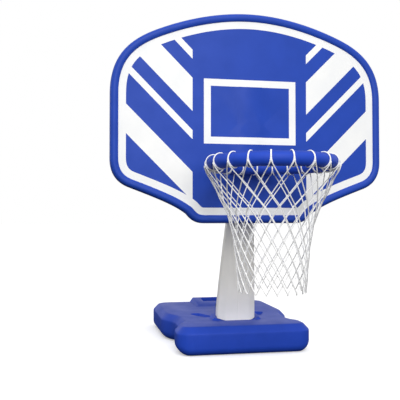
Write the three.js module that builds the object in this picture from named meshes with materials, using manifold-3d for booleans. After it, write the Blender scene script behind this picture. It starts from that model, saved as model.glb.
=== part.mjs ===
// A free-standing basketball hoop for the edge of a swimming pool.
// Lengths are in millimetres. The origin is on the floor, under the pole's foot.
// X runs along the pool's edge, -Y points at the water and the player, and Z points up.
import * as THREE from "three";
import { mergeVertices } from "three/addons/utils/BufferGeometryUtils.js";
import Module from "manifold-3d";

const wasm = await Module();
wasm.setup();

// Clearances and walls shared by several pieces
const seatGap = 0.3;
const cutOverrun = 5;
const tankWall = 4;
const poleWall = 4;
const boardWall = 4;
const rimWall = 3.5;

// Base tank
const baseFrontWidth = 446;
const baseWaistWidth = 398;
const baseRearWidth = 470;
const baseDepth = 628;
const baseHeight = 92;
const originToFrontEdge = 148;
const deckChamfer = 20;
const endUndersideRound = 26;
const frontSideUndersideRound = 39;
const rearSideUndersideRound = 26;
const frontCornerRadius = 45;
const rearCornerRadius = 62;
const frontBarStraight = 78;
const waistStart = 150;
const waistEnd = 212;
const rearStraightStart = 345;

// Raised block at the back of the deck, low in front and high behind, with a hand hold sunk into it
const blockWidth = 160;
const blockLength = 146;
const blockHeight = 18;
const blockFrontHeight = 5;
const blockSlope = 10;
const blockToRearEdge = 22;
const handHoldWidth = 82;
const handHoldLength = 62;
const handHoldDepth = 20;
const handHoldToBlockRear = 18;

// Shallow stiffening recesses beside the pole
const recessLength = 104;
const recessWidth = 42;
const recessDepth = 9;
const recessOffset = 102;
const recessBehindOrigin = 99;
const recessTurn = THREE.MathUtils.degToRad(24);

// Socket for the pole's foot
const socketFloorHeight = 44;
const socketFloorThickness = 10;
const collarWidth = 12;
const collarHeight = 15;
const collarRampLength = 26;

// Fill neck, cap and sealing ring
const fillNeckBehindOrigin = 190;
const fillHoleRadius = 20;
const fillNeckRadius = 28;
const fillNeckHeight = 10;
const fillCapRadius = 29;
const fillCapHeight = 13;
const fillCapPlugLength = 20;
const fillSealThickness = 2.5;
const gripRidgeDepth = 1.6;

// Drain plug and sealing ring
const drainHeight = 36;
const drainHoleRadius = 8;
const drainPadRadius = 17;
const drainPadThickness = 3;
const drainFlangeRadius = 14;
const drainFlangeThickness = 6;
const drainPlugLength = 16;
const drainSealThickness = 2;
const drainSlotWidth = 3;
const drainSlotDepth = 2.5;

// Water in the tank, up to this height
const waterLevel = 74;

// Pole
const poleFootWidth = 131.5;
const poleFootDepth = 76;
const poleFootBack = 12;
const poleTopWidth = 76;
const poleTopDepth = 50;
const poleBendHeight = 580;
const poleTopHeight = 850;
const poleFootPad = 20;
const poleTopSection = 18;
const topPlugThickness = 3;
const topPlugDepth = 14;

// Backboard
const boardWidth = 882;
const boardHeight = 665;
const boardBottomHeight = 423;
const boardThickness = 44;
const boardOverhang = 200;
const beadWidth = 25;
const panelRecess = 7;
const backRound = 12;
const mountBossWidth = 104;
const mountBossDepth = 24;
const mountBossBelowBend = 100;
const railDepth = 38;
const railAboveBend = 8;
const bridgeThickness = 14;
const bridgeGap = 4;
const boltTubeWall = 5;
const ventRadius = 3;

// Rim
const rimOuterRadius = 187.5;
const rimTubeRadius = 20;
const rimHeight = 593;
const rimToBoardFace = 216;
const flangeWidth = 152;
const flangeHeight = 70;
const flangeThickness = 10;
const flangeCornerRadius = 12;
const flangeRise = 23;
const armWidth = 16;
const armSpacing = 52;

// Net
const netLoopCount = 20;
const netLength = 358;
const netTipRadius = 93;
const cordThickness = 3.4;
const knotHeight = 6;
const knotWidth = 4.8;
const loopThickness = 3.6;
const loopWidth = 5;
const loopClearance = 1.4;

// Bolts, washers, nuts and inserts
const boltRadius = 4;
const boltHoleRadius = 4.5;
const boltHeadAcross = 13;
const boltHeadHeight = 5.3;
const washerRadius = 9;
const washerThickness = 1.6;
const nutAcross = 13;
const nutHeight = 8;
const boltTail = 3;
const rimBoltSpacingX = 124;
const rimBoltSpacingZ = 40;
const footBoltSpacing = 64;
const footWellRadius = 15;
const insertRadius = 7;
const insertLength = 16;

// Section of the pole, as shares of its half width and half depth, front edge first
const poleSectionShares = [
  [-0.64, -1], [0.64, -1], [1, -0.48], [1, 0.4], [0.66, 1], [-0.66, 1], [-1, 0.4], [-1, -0.48],
];

// Stations of the pole between the deck and the bend: share of that height, share of the taper
// from foot to top, and share of the lean towards the board
const poleStationShares = [
  [0.16, 0.09, 0.09], [0.35, 0.28, 0.25], [0.53, 0.486, 0.41], [0.67, 0.663, 0.55], [0.84, 0.847, 0.76],
];

// Heights of the two bolts that lock the pole to the board, as shares of the pole's upright top length
const lockBoltShares = [0.26, 0.7];

// Backboard outline, right half from the bottom: shares of its half width and of its height
const boardFootShare = 0.336;
const boardCurveShares = [
  [[0.4, 0], [0.43, 0.018], [0.465, 0.045]],
  [[0.54, 0.084], [0.68, 0.12], [0.873, 0.168]],
  [[0.964, 0.192], [1, 0.241], [1, 0.301]],
];
const boardSideTopShare = 0.602;
const boardCrownShares = [
  [[1, 0.752], [0.896, 0.842], [0.68, 0.902]],
  [[0.488, 0.956], [0.249, 1], [0, 1]],
];

// Net rows from the loops down: share of the net's length, and share of the way from the loops' radius
// to the tips' radius
const netRowShares = [
  [0.02, 0], [0.15, 0.248], [0.253, 0.431], [0.337, 0.585], [0.43, 0.72], [0.52, 0.807],
  [0.608, 0.865], [0.692, 0.904], [0.773, 0.932], [0.85, 0.956], [0.928, 0.98], [1, 1],
];

// Steps around round pieces
const fineSteps = 24;
const coarseSteps = 12;
const curveSteps = 4;
const insideSteps = 3;
const undersideSteps = 3;
const boardCurveSteps = 5;

// Places worked out from the sizes above
const deckHeight = baseHeight;
const frontEdgeY = -originToFrontEdge;
const rearEdgeY = frontEdgeY + baseDepth;
const boardFaceY = -boardOverhang;
const panelFaceY = boardFaceY + panelRecess;
const boardBackY = boardFaceY + boardThickness;
const bossBackY = boardBackY + mountBossDepth;
const poleTopFrontY = bossBackY + seatGap;
const poleTopY = poleTopFrontY + poleTopDepth / 2;
const poleTopBackY = poleTopFrontY + poleTopDepth;
const poleBottom = socketFloorHeight + seatGap;
const rimY = boardFaceY - rimToBoardFace;
const rimRadius = rimOuterRadius - rimTubeRadius;
const flangeBackY = panelFaceY - seatGap;
const flangeFrontY = flangeBackY - flangeThickness;
const flangeMiddleHeight = rimHeight + flangeRise;

// Colours and finishes
function finish(color, roughness, metalness) {
  return new THREE.MeshStandardMaterial({ color, roughness, metalness });
}
const bluePlastic = finish(0x2c49b4, 0.4, 0);
const greyPlastic = finish(0xcfd0d0, 0.45, 0);
const blackPlastic = finish(0x202225, 0.5, 0);
const rubberRing = finish(0x1b1b1b, 0.85, 0);
const zincSteel = finish(0xb8bcc0, 0.35, 0.9);
const brassInsert = finish(0xb08d4a, 0.35, 0.9);
const netCord = finish(0xf1f1ee, 0.8, 0);
const waterFill = finish(0x7fb4cf, 0.1, 0);

// Turns a closed geometry into a solid that can be joined and cut
function solid(geometry) {
  const bare = geometry.clone();
  bare.deleteAttribute("normal");
  bare.deleteAttribute("uv");
  const merged = mergeVertices(bare);
  return new wasm.Manifold(new wasm.Mesh({
    numProp: 3,
    vertProperties: new Float32Array(merged.attributes.position.array),
    triVerts: new Uint32Array(merged.index.array),
  }));
}

// Turns a solid back into a geometry
function geometryOf(body) {
  const mesh = body.getMesh();
  const geometry = new THREE.BufferGeometry();
  geometry.setAttribute("position", new THREE.BufferAttribute(new Float32Array(mesh.vertProperties), 3));
  geometry.setIndex(new THREE.BufferAttribute(new Uint32Array(mesh.triVerts), 1));
  geometry.computeVertexNormals();
  return geometry;
}

const joined = (bodies) => bodies.reduce((sum, body) => sum.add(body));
const cutFrom = (body, tools) => tools.reduce((rest, tool) => rest.subtract(tool), body);

// A closed skin over rings of points, each ring anticlockwise when seen from the last ring's side
function loft(rings) {
  const count = rings[0].length;
  const positions = rings.flat().flatMap((point) => [point.x, point.y, point.z]);
  const faces = [];
  for (let level = 0; level < rings.length - 1; level += 1) {
    for (let step = 0; step < count; step += 1) {
      const next = (step + 1) % count;
      const low = level * count;
      const high = low + count;
      faces.push(low + step, low + next, high + next, low + step, high + next, high + step);
    }
  }
  const flat = rings.cap ?? rings[0].map((point) => new THREE.Vector2(point.x, point.y));
  for (const [a, b, c] of THREE.ShapeUtils.triangulateShape(flat, [])) {
    const top = (rings.length - 1) * count;
    faces.push(a, c, b, top + a, top + b, top + c);
  }
  const geometry = new THREE.BufferGeometry();
  geometry.setAttribute("position", new THREE.Float32BufferAttribute(positions, 3));
  geometry.setIndex(faces);
  return geometry;
}

// At each point of an outline, the move that takes both its edges inwards by one unit
function inwardMoves(outline) {
  return outline.map((point, index) => {
    const before = outline[(index + outline.length - 1) % outline.length];
    const after = outline[(index + 1) % outline.length];
    const normals = [point.clone().sub(before), after.clone().sub(point)].map((edge) => (
      new THREE.Vector2(-edge.y, edge.x).normalize()
    ));
    const mitre = normals[0].clone().add(normals[1]);
    return mitre.divideScalar(1 + normals[0].dot(normals[1]));
  });
}

// An outline moved inwards by the same distance all round
function inset(outline, distance) {
  const moves = inwardMoves(outline);
  return outline.map((point, index) => point.clone().addScaledVector(moves[index], distance));
}

const level = (outline, height) => outline.map((point) => new THREE.Vector3(point.x, point.y, height));

// The mirror image in X = 0 joined to a right half that starts and ends on that line
function mirrored(half) {
  const left = half.slice(1, -1).reverse().map((point) => new THREE.Vector2(-point.x, point.y));
  return [...half, ...left];
}

// Plain shapes, each placed by its middle or its axis
function box(width, depth, height, x, y, z) {
  return solid(new THREE.BoxGeometry(width, depth, height).translate(x, y, z));
}

function upright(radius, bottom, top, x, y, steps = coarseSteps) {
  const rod = new THREE.CylinderGeometry(radius, radius, top - bottom, steps);
  return rod.rotateX(Math.PI / 2).translate(x, y, (bottom + top) / 2);
}

function lying(radius, front, back, x, z, steps = coarseSteps) {
  const rod = new THREE.CylinderGeometry(radius, radius, back - front, steps);
  return rod.translate(x, (front + back) / 2, z);
}

// A flat ring around Z, from a lower to an upper height
function ring(inner, outer, bottom, top, steps = coarseSteps) {
  const profile = [[inner, bottom], [outer, bottom], [outer, top], [inner, top], [inner, bottom]];
  const points = profile.map(([radius, height]) => new THREE.Vector2(radius, height));
  return new THREE.LatheGeometry(points, steps).rotateX(Math.PI / 2);
}

// Plan of the base tank: front bar, waist and rear lobe
function basePlan(steps) {
  const front = baseFrontWidth / 2;
  const waist = baseWaistWidth / 2;
  const rear = baseRearWidth / 2;
  const frontBend = (frontBarStraight + waistStart) / 2;
  const rearBend = (waistEnd + rearStraightStart) / 2;
  const path = new THREE.Path();
  path.moveTo(0, 0);
  path.lineTo(front - frontCornerRadius, 0);
  path.absarc(front - frontCornerRadius, frontCornerRadius, frontCornerRadius, -Math.PI / 2, 0, false);
  path.lineTo(front, frontBarStraight);
  path.bezierCurveTo(front, frontBend, waist, frontBend, waist, waistStart);
  path.lineTo(waist, waistEnd);
  path.bezierCurveTo(waist, rearBend, rear, rearBend, rear, rearStraightStart);
  path.lineTo(rear, baseDepth - rearCornerRadius);
  const cornerX = rear - rearCornerRadius;
  path.absarc(cornerX, baseDepth - rearCornerRadius, rearCornerRadius, 0, Math.PI / 2, false);
  path.lineTo(0, baseDepth);
  return mirrored(path.getPoints(steps)).map((point) => point.add(new THREE.Vector2(0, frontEdgeY)));
}

// Rounding of the tank's underside at each point of its plan: small at the ends, large along the sides
function undersideRounds(plan) {
  return inwardMoves(plan).map((move, index) => {
    const backwards = (plan[index].y - frontEdgeY) / baseDepth;
    const side = THREE.MathUtils.lerp(frontSideUndersideRound, rearSideUndersideRound, backwards);
    return THREE.MathUtils.lerp(endUndersideRound, side, Math.min(move.x ** 2, 1));
  });
}

// Skin of the tank, or of the space inside it when moved inwards
function tankForm(plan, inwards) {
  const moves = inwardMoves(plan);
  const rounds = undersideRounds(plan);
  const rings = [];
  for (let step = 0; step <= undersideSteps; step += 1) {
    const turn = (step / undersideSteps) * (Math.PI / 2);
    rings.push(plan.map((point, index) => {
      const side = inwards + rounds[index] * (1 - Math.sin(turn));
      const moved = point.clone().addScaledVector(moves[index], side);
      return new THREE.Vector3(moved.x, moved.y, inwards + rounds[index] * (1 - Math.cos(turn)));
    }));
  }
  rings.push(level(inset(plan, inwards), deckHeight - deckChamfer));
  rings.push(level(inset(plan, deckChamfer + inwards / 2), deckHeight - inwards));
  return solid(loft(rings));
}

function rectangle(width, length, middleY) {
  const corners = [[-1, -1], [1, -1], [1, 1], [-1, 1]];
  return corners.map(([across, along]) => (
    new THREE.Vector2(across * (width / 2), middleY + along * (length / 2))
  ));
}

const blockRearY = rearEdgeY - blockToRearEdge;
const blockY = blockRearY - blockLength / 2;
const handHoldY = blockRearY - handHoldToBlockRear - handHoldLength / 2;

function rearBlock() {
  const foot = rectangle(blockWidth, blockLength, blockY);
  const top = inset(foot, blockSlope).map((point) => {
    const rise = point.y < blockY ? blockFrontHeight : blockHeight;
    return new THREE.Vector3(point.x, point.y, deckHeight + rise);
  });
  return solid(loft([level(foot, deckHeight - tankWall), level(foot, deckHeight), top]));
}

function handHold(outwards) {
  const mouth = rectangle(handHoldWidth, handHoldLength, handHoldY);
  const top = deckHeight + blockHeight;
  return solid(loft([
    level(inset(mouth, blockSlope / 2 - outwards), top - handHoldDepth - outwards),
    level(inset(mouth, -outwards), top + cutOverrun),
  ]));
}

function sideRecess(side, outwards) {
  const slot = new THREE.Shape();
  const radius = recessWidth / 2;
  const reach = recessLength / 2 - radius;
  slot.absarc(0, reach, radius, 0, Math.PI, false);
  slot.absarc(0, -reach, radius, Math.PI, 2 * Math.PI, false);
  const outline = slot.getPoints(curveSteps).filter((point, index, all) => (
    index === 0 || point.distanceTo(all[index - 1]) > seatGap
  ));
  if (outline[0].distanceTo(outline.at(-1)) < seatGap) outline.pop();
  const form = loft([
    level(inset(outline, recessDepth / 2 - outwards), deckHeight - recessDepth - outwards),
    level(inset(outline, -outwards), deckHeight + cutOverrun),
  ]);
  return solid(form.rotateZ(-side * recessTurn).translate(side * recessOffset, recessBehindOrigin, 0));
}

// Section of the pole at a given width and depth, grown outwards if asked
function poleSection(width, depth, middleY, outwards = 0) {
  const outline = poleSectionShares.map(([across, along]) => (
    new THREE.Vector2(across * (width / 2), along * (depth / 2) + middleY)
  ));
  return inset(outline, -outwards);
}

const footSection = (outwards) => poleSection(poleFootWidth, poleFootDepth, poleFootBack, outwards);

function footColumn(outwards, bottom, top) {
  return solid(loft([level(footSection(outwards), bottom), level(footSection(outwards), top)]));
}

// Raised collar around the pole's foot, which slopes down to the deck at the front
function footCollar() {
  const crown = deckHeight + collarHeight;
  const collar = solid(loft([
    level(footSection(collarWidth + collarHeight / 2), deckHeight - tankWall),
    level(footSection(collarWidth + collarHeight / 2), deckHeight),
    level(footSection(collarWidth), crown),
  ]));
  const frontY = poleFootBack - poleFootDepth / 2;
  const ramp = new THREE.Shape();
  ramp.moveTo(frontY - collarWidth * 2, deckHeight);
  ramp.lineTo(frontY, deckHeight);
  ramp.lineTo(frontY + collarRampLength, crown);
  ramp.lineTo(frontY + collarRampLength, crown + cutOverrun);
  ramp.lineTo(frontY - collarWidth * 2, crown + cutOverrun);
  const length = poleFootWidth + collarWidth * 4;
  const wedge = new THREE.ExtrudeGeometry(ramp, { depth: length, bevelEnabled: false });
  wedge.applyMatrix4(new THREE.Matrix4().makeBasis(
    new THREE.Vector3(0, 1, 0), new THREE.Vector3(0, 0, 1), new THREE.Vector3(1, 0, 0),
  )).translate(-length / 2, 0, 0);
  return collar.subtract(solid(wedge));
}

const footBoltX = [-footBoltSpacing / 2, footBoltSpacing / 2];
const wellTop = socketFloorHeight - socketFloorThickness;

// What stands inside the tank: the space is kept clear of it, grown by a wall or by a wall and a gap
function tankInside(clearance) {
  const wall = tankWall + clearance;
  const socket = footColumn(wall, wellTop - clearance, deckHeight);
  const wells = footBoltX.map((x) => solid(upright(footWellRadius + wall, 0, wellTop, x, poleFootBack)));
  const hold = handHold(wall);
  const recesses = [-1, 1].map((side) => sideRecess(side, wall));
  return cutFrom(tankForm(basePlan(insideSteps), wall), [socket, ...wells, hold, ...recesses]);
}

function baseTank() {
  const neckTop = deckHeight + fillNeckHeight;
  const neck = solid(upright(
    fillNeckRadius, deckHeight - tankWall, neckTop, 0, fillNeckBehindOrigin, fineSteps,
  ));
  const padBack = rearEdgeY + drainPadThickness;
  const pad = solid(lying(drainPadRadius, rearEdgeY - tankWall, padBack, 0, drainHeight, fineSteps));
  const outside = joined([tankForm(basePlan(curveSteps), 0), rearBlock(), footCollar(), neck, pad]);
  const space = tankInside(0);
  const socket = footColumn(seatGap, socketFloorHeight, deckHeight + collarHeight + cutOverrun);
  const wells = footBoltX.map((x) => (
    solid(upright(footWellRadius, -cutOverrun, wellTop, x, poleFootBack, fineSteps))
  ));
  const holes = footBoltX.map((x) => (
    solid(upright(boltHoleRadius, wellTop - cutOverrun, socketFloorHeight + cutOverrun, x, poleFootBack))
  ));
  const fillHole = solid(upright(
    fillHoleRadius, deckHeight - tankWall * 2, neckTop + cutOverrun, 0, fillNeckBehindOrigin, fineSteps,
  ));
  const drainHole = solid(lying(
    drainHoleRadius, rearEdgeY - tankWall * 2, padBack + cutOverrun, 0, drainHeight, fineSteps,
  ));
  const recesses = [-1, 1].map((side) => sideRecess(side, 0));
  const sunk = [space, socket, ...wells, ...holes, fillHole, drainHole, handHold(0), ...recesses];
  return cutFrom(outside, sunk);
}

function ballastWater() {
  const above = deckHeight + blockHeight - waterLevel;
  const span = baseDepth + baseRearWidth;
  const air = box(span, span, above, 0, 0, waterLevel + above / 2);
  const plugReach = rearEdgeY + drainPadThickness - drainPlugLength - tankWall;
  const drain = solid(lying(drainHoleRadius + seatGap, plugReach, rearEdgeY, 0, drainHeight));
  return cutFrom(tankInside(seatGap), [air, drain]);
}

// A cap turned about Z: flange with grip ridges, and a plug below it
function ridgedCap(flangeRadius, flangeBottom, flangeTop, plugRadius, plugBottom, ridges) {
  const steps = ridges * 4;
  const outline = [];
  for (let step = 0; step < steps; step += 1) {
    const turn = (step / steps) * 2 * Math.PI;
    const radius = flangeRadius - (step % 4 < 2 ? 0 : gripRidgeDepth);
    outline.push(new THREE.Vector2(radius * Math.cos(turn), radius * Math.sin(turn)));
  }
  const flange = solid(loft([
    level(outline, flangeBottom),
    level(outline, flangeTop - gripRidgeDepth),
    level(inset(outline, gripRidgeDepth), flangeTop),
  ]));
  return flange.add(solid(upright(plugRadius, plugBottom, flangeBottom + seatGap, 0, 0, fineSteps)));
}

const fillSealBottom = deckHeight + fillNeckHeight + seatGap;
const fillCapBottom = fillSealBottom + fillSealThickness + seatGap;

function fillCap() {
  const top = fillCapBottom + fillCapHeight;
  const gripRidges = 12;
  const plugRadius = fillHoleRadius - seatGap;
  const plugBottom = fillCapBottom - fillCapPlugLength;
  return ridgedCap(fillCapRadius, fillCapBottom, top, plugRadius, plugBottom, gripRidges);
}

const drainSealFront = drainPadThickness + seatGap;
const drainPlugFront = drainSealFront + drainSealThickness + seatGap;

// Drain plug, made about Z with its head up, then laid along Y
function drainPlug() {
  const head = solid(upright(drainFlangeRadius, 0, drainFlangeThickness, 0, 0, fineSteps));
  const stem = solid(upright(drainHoleRadius - seatGap, -drainPlugLength, seatGap, 0, 0, fineSteps));
  const slot = box(
    drainFlangeRadius * 2 + cutOverrun, drainSlotWidth, drainSlotDepth * 2, 0, 0, drainFlangeThickness,
  );
  return head.add(stem).subtract(slot);
}

// Stations of the whole pole, from the socket floor to the top
function poleStations() {
  const taperTop = poleBendHeight - deckHeight;
  const stations = [
    { height: poleBottom, width: poleFootWidth, depth: poleFootDepth, middle: poleFootBack },
    { height: deckHeight + collarHeight, width: poleFootWidth, depth: poleFootDepth, middle: poleFootBack },
  ];
  for (const [rise, taper, lean] of poleStationShares) {
    stations.push({
      height: deckHeight + rise * taperTop,
      width: THREE.MathUtils.lerp(poleFootWidth, poleTopWidth, taper),
      depth: THREE.MathUtils.lerp(poleFootDepth, poleTopDepth, taper),
      middle: THREE.MathUtils.lerp(poleFootBack, poleTopY, lean),
    });
  }
  stations.push({ height: poleBendHeight, width: poleTopWidth, depth: poleTopDepth, middle: poleTopY });
  stations.push({ height: poleTopHeight, width: poleTopWidth, depth: poleTopDepth, middle: poleTopY });
  return stations;
}

const lockBoltHeights = lockBoltShares.map((share) => (
  THREE.MathUtils.lerp(poleBendHeight, poleTopHeight, share)
));

function pole() {
  const stations = poleStations();
  const outside = solid(loft(stations.map(({ height, width, depth, middle }) => (
    level(poleSection(width, depth, middle), height)
  ))));
  const last = stations.length - 1;
  const inside = solid(loft(stations.map(({ height, width, depth, middle }, index) => {
    const lift = (index === 0 ? poleFootPad : 0) + (index === last ? cutOverrun : 0);
    return level(poleSection(width, depth, middle, -poleWall), height + lift);
  })));
  const pocketTop = poleBottom + insertLength + seatGap;
  const pockets = footBoltX.map((x) => (
    solid(upright(insertRadius + seatGap, poleBottom - cutOverrun, pocketTop, x, poleFootBack))
  ));
  const lockHoles = lockBoltHeights.map((z) => (
    solid(lying(boltHoleRadius, poleTopFrontY - cutOverrun, poleTopBackY + cutOverrun, 0, z))
  ));
  return cutFrom(outside, [inside, ...pockets, ...lockHoles]);
}

function poleTopPlug() {
  const top = poleTopHeight + seatGap;
  const head = solid(loft([
    level(poleSection(poleTopWidth, poleTopDepth, poleTopY), top),
    level(poleSection(poleTopWidth, poleTopDepth, poleTopY), top + topPlugThickness),
  ]));
  const stem = solid(loft([
    level(poleSection(poleTopWidth, poleTopDepth, poleTopY, -poleWall - seatGap), top - topPlugDepth),
    level(poleSection(poleTopWidth, poleTopDepth, poleTopY, -poleWall - seatGap), top + seatGap),
  ]));
  return head.add(stem);
}

// Outline of the backboard in its own plane: x across and y up from its bottom edge
function boardOutline() {
  const half = boardWidth / 2;
  const at = ([across, up]) => [across * half, up * boardHeight];
  const path = new THREE.Path();
  path.moveTo(0, 0);
  path.lineTo(...at([boardFootShare, 0]));
  for (const [first, second, end] of boardCurveShares) {
    path.bezierCurveTo(...at(first), ...at(second), ...at(end));
  }
  path.lineTo(...at([1, boardSideTopShare]));
  for (const [first, second, end] of boardCrownShares) {
    path.bezierCurveTo(...at(first), ...at(second), ...at(end));
  }
  return mirrored(path.getPoints(boardCurveSteps));
}

// A skin over the outline, from rings of [distance inwards, distance behind the bead's front]
function boardSkin(outline, profile) {
  const rings = profile.map(([inwards, behind]) => inset(outline, inwards).map((point) => (
    new THREE.Vector3(point.x, boardFaceY + behind, boardBottomHeight + point.y)
  )));
  rings.cap = inset(outline, beadWidth);
  return solid(loft(rings));
}

function backboard() {
  const outline = boardOutline();
  const crest = beadWidth / 2;
  const beadDepth = boardThickness / 3;
  const outside = boardSkin(outline, [
    [backRound, boardThickness], [backRound / 4, boardThickness - backRound / 3],
    [0, boardThickness - backRound], [0, beadDepth], [crest / 4, beadDepth / 3], [crest, 0],
    [beadWidth - crest / 3, panelRecess / 2], [beadWidth, panelRecess],
  ]);
  const inside = boardSkin(outline, [
    [backRound + boardWall, boardThickness - boardWall], [boardWall, boardThickness - backRound],
    [boardWall, beadDepth], [crest, boardWall + seatGap], [beadWidth + boardWall, panelRecess + boardWall],
  ]);
  const bossBottom = poleBendHeight - mountBossBelowBend;
  const bossTop = poleTopHeight + topPlugThickness + bridgeGap + bridgeThickness;
  const bossMiddle = (bossBottom + bossTop) / 2;
  const rootY = boardBackY - boardWall;
  const boss = box(
    mountBossWidth, bossBackY - rootY, bossTop - bossBottom, 0, (bossBackY + rootY) / 2, bossMiddle,
  );
  const bossSpace = box(
    mountBossWidth - boardWall * 2, mountBossDepth, bossTop - bossBottom - boardWall * 2, 0,
    boardBackY + mountBossDepth / 2 - boardWall - seatGap, bossMiddle,
  );
  const railBottom = poleBendHeight + railAboveBend;
  const railInner = poleTopWidth / 2 + seatGap;
  const railThickness = mountBossWidth / 2 - railInner;
  const railMiddleY = bossBackY + (railDepth - boardWall) / 2;
  const rails = [-1, 1].map((side) => box(
    railThickness, railDepth + boardWall, bossTop - railBottom,
    side * (railInner + railThickness / 2), railMiddleY, (railBottom + bossTop) / 2,
  ));
  const bridge = box(
    mountBossWidth, railDepth + boardWall, bridgeThickness, 0, railMiddleY, bossTop - bridgeThickness / 2,
  );
  const tubeEnds = [boardFaceY, bossBackY];
  const rimTubes = rimBoltPlaces().map(([x, z]) => (
    solid(lying(boltRadius + boltTubeWall, tubeEnds[0], boardBackY, x, z))
  ));
  const insertBosses = lockBoltHeights.map((z) => (
    solid(lying(insertRadius + boltTubeWall, tubeEnds[0], tubeEnds[1], 0, z))
  ));
  const space = cutFrom(inside.add(bossSpace), [...rimTubes, ...insertBosses]);
  const rimHoles = rimBoltPlaces().map(([x, z]) => (
    solid(lying(boltHoleRadius, boardFaceY - cutOverrun, boardBackY + cutOverrun, x, z))
  ));
  const insertPockets = lockBoltHeights.map((z) => (
    solid(lying(insertRadius + seatGap, bossBackY - insertLength - seatGap, bossBackY + cutOverrun, 0, z))
  ));
  const vent = solid(upright(ventRadius, bossBottom - cutOverrun, bossBottom + cutOverrun * 2, 0,
    boardBackY + mountBossDepth / 2));
  return cutFrom(joined([outside, boss, ...rails, bridge]), [space, ...rimHoles, ...insertPockets, vent]);
}

function rimBoltPlaces() {
  return [-1, 1].flatMap((up) => [-1, 1].map((side) => (
    [side * (rimBoltSpacingX / 2), flangeMiddleHeight + up * (rimBoltSpacingZ / 2)]
  )));
}

function rim() {
  const tubeSteps = 10;
  const ringSteps = netLoopCount * 3;
  const hollowSteps = netLoopCount * 2;
  const tube = solid(new THREE.TorusGeometry(rimRadius, rimTubeRadius, tubeSteps, ringSteps)
    .translate(0, rimY, rimHeight));
  const boreRadius = rimTubeRadius - rimWall;
  const hollow = solid(new THREE.TorusGeometry(rimRadius, boreRadius, tubeSteps / 2, hollowSteps)
    .translate(0, rimY, rimHeight));
  const plate = new THREE.Shape();
  const x = flangeWidth / 2 - flangeCornerRadius;
  const y = flangeHeight / 2 - flangeCornerRadius;
  plate.absarc(x, -y, flangeCornerRadius, -Math.PI / 2, 0, false);
  plate.absarc(x, y, flangeCornerRadius, 0, Math.PI / 2, false);
  plate.absarc(-x, y, flangeCornerRadius, Math.PI / 2, Math.PI, false);
  plate.absarc(-x, -y, flangeCornerRadius, Math.PI, 1.5 * Math.PI, false);
  const flange = solid(new THREE.ExtrudeGeometry(plate, {
    depth: flangeThickness, bevelEnabled: false, curveSegments: curveSteps,
  }).rotateX(Math.PI / 2).translate(0, flangeBackY, flangeMiddleHeight));
  const rootY = rimY + rimRadius;
  const rootHalf = rimTubeRadius / 2;
  const web = new THREE.Shape();
  web.moveTo(rootY, rimHeight - rootHalf);
  web.lineTo(flangeFrontY + seatGap, flangeMiddleHeight - flangeHeight / 2 + seatGap);
  web.lineTo(flangeFrontY + seatGap, flangeMiddleHeight + flangeHeight / 2 - flangeCornerRadius);
  web.lineTo(rootY, rimHeight + rootHalf);
  const arms = [-1, 1].map((side) => {
    const arm = new THREE.ExtrudeGeometry(web, { depth: armWidth, bevelEnabled: false });
    arm.applyMatrix4(new THREE.Matrix4().makeBasis(
      new THREE.Vector3(0, 1, 0), new THREE.Vector3(0, 0, 1), new THREE.Vector3(1, 0, 0),
    ));
    return solid(arm.translate(side * (armSpacing / 2) - armWidth / 2, 0, 0));
  });
  const holes = rimBoltPlaces().map(([boltX, boltZ]) => (
    solid(lying(boltHoleRadius, flangeFrontY - cutOverrun, flangeBackY + cutOverrun, boltX, boltZ))
  ));
  const ventBottom = rimHeight - rimTubeRadius - cutOverrun;
  const vent = solid(upright(ventRadius, ventBottom, rimHeight, 0, rimY + rimRadius));
  return cutFrom(joined([tube, flange, ...arms]), [hollow, ...holes, vent]);
}

// Place on the net's skin: the angle runs from the front towards +X
function netPoint(radius, angle, height) {
  return new THREE.Vector3(radius * Math.sin(angle), rimY - radius * Math.cos(angle), rimHeight - height);
}

// The four corners of one knot, top, right, bottom and left, on the outer or the inner skin
function knotCorners(row, column, layer) {
  const shift = row % 2 === 0 ? 0 : 0.5;
  const angle = ((column + shift) / netLoopCount) * 2 * Math.PI;
  const [drop, narrowing] = netRowShares[row];
  const topRadius = rimOuterRadius + loopClearance + cordThickness / 2;
  const radius = THREE.MathUtils.lerp(topRadius, netTipRadius, narrowing) + layer * (cordThickness / 2);
  const height = drop * netLength;
  const turn = knotWidth / 2 / radius;
  return [
    netPoint(radius, angle, height - knotHeight / 2),
    netPoint(radius, angle + turn, height),
    netPoint(radius, angle, height + knotHeight / 2),
    netPoint(radius, angle - turn, height),
  ];
}

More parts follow.
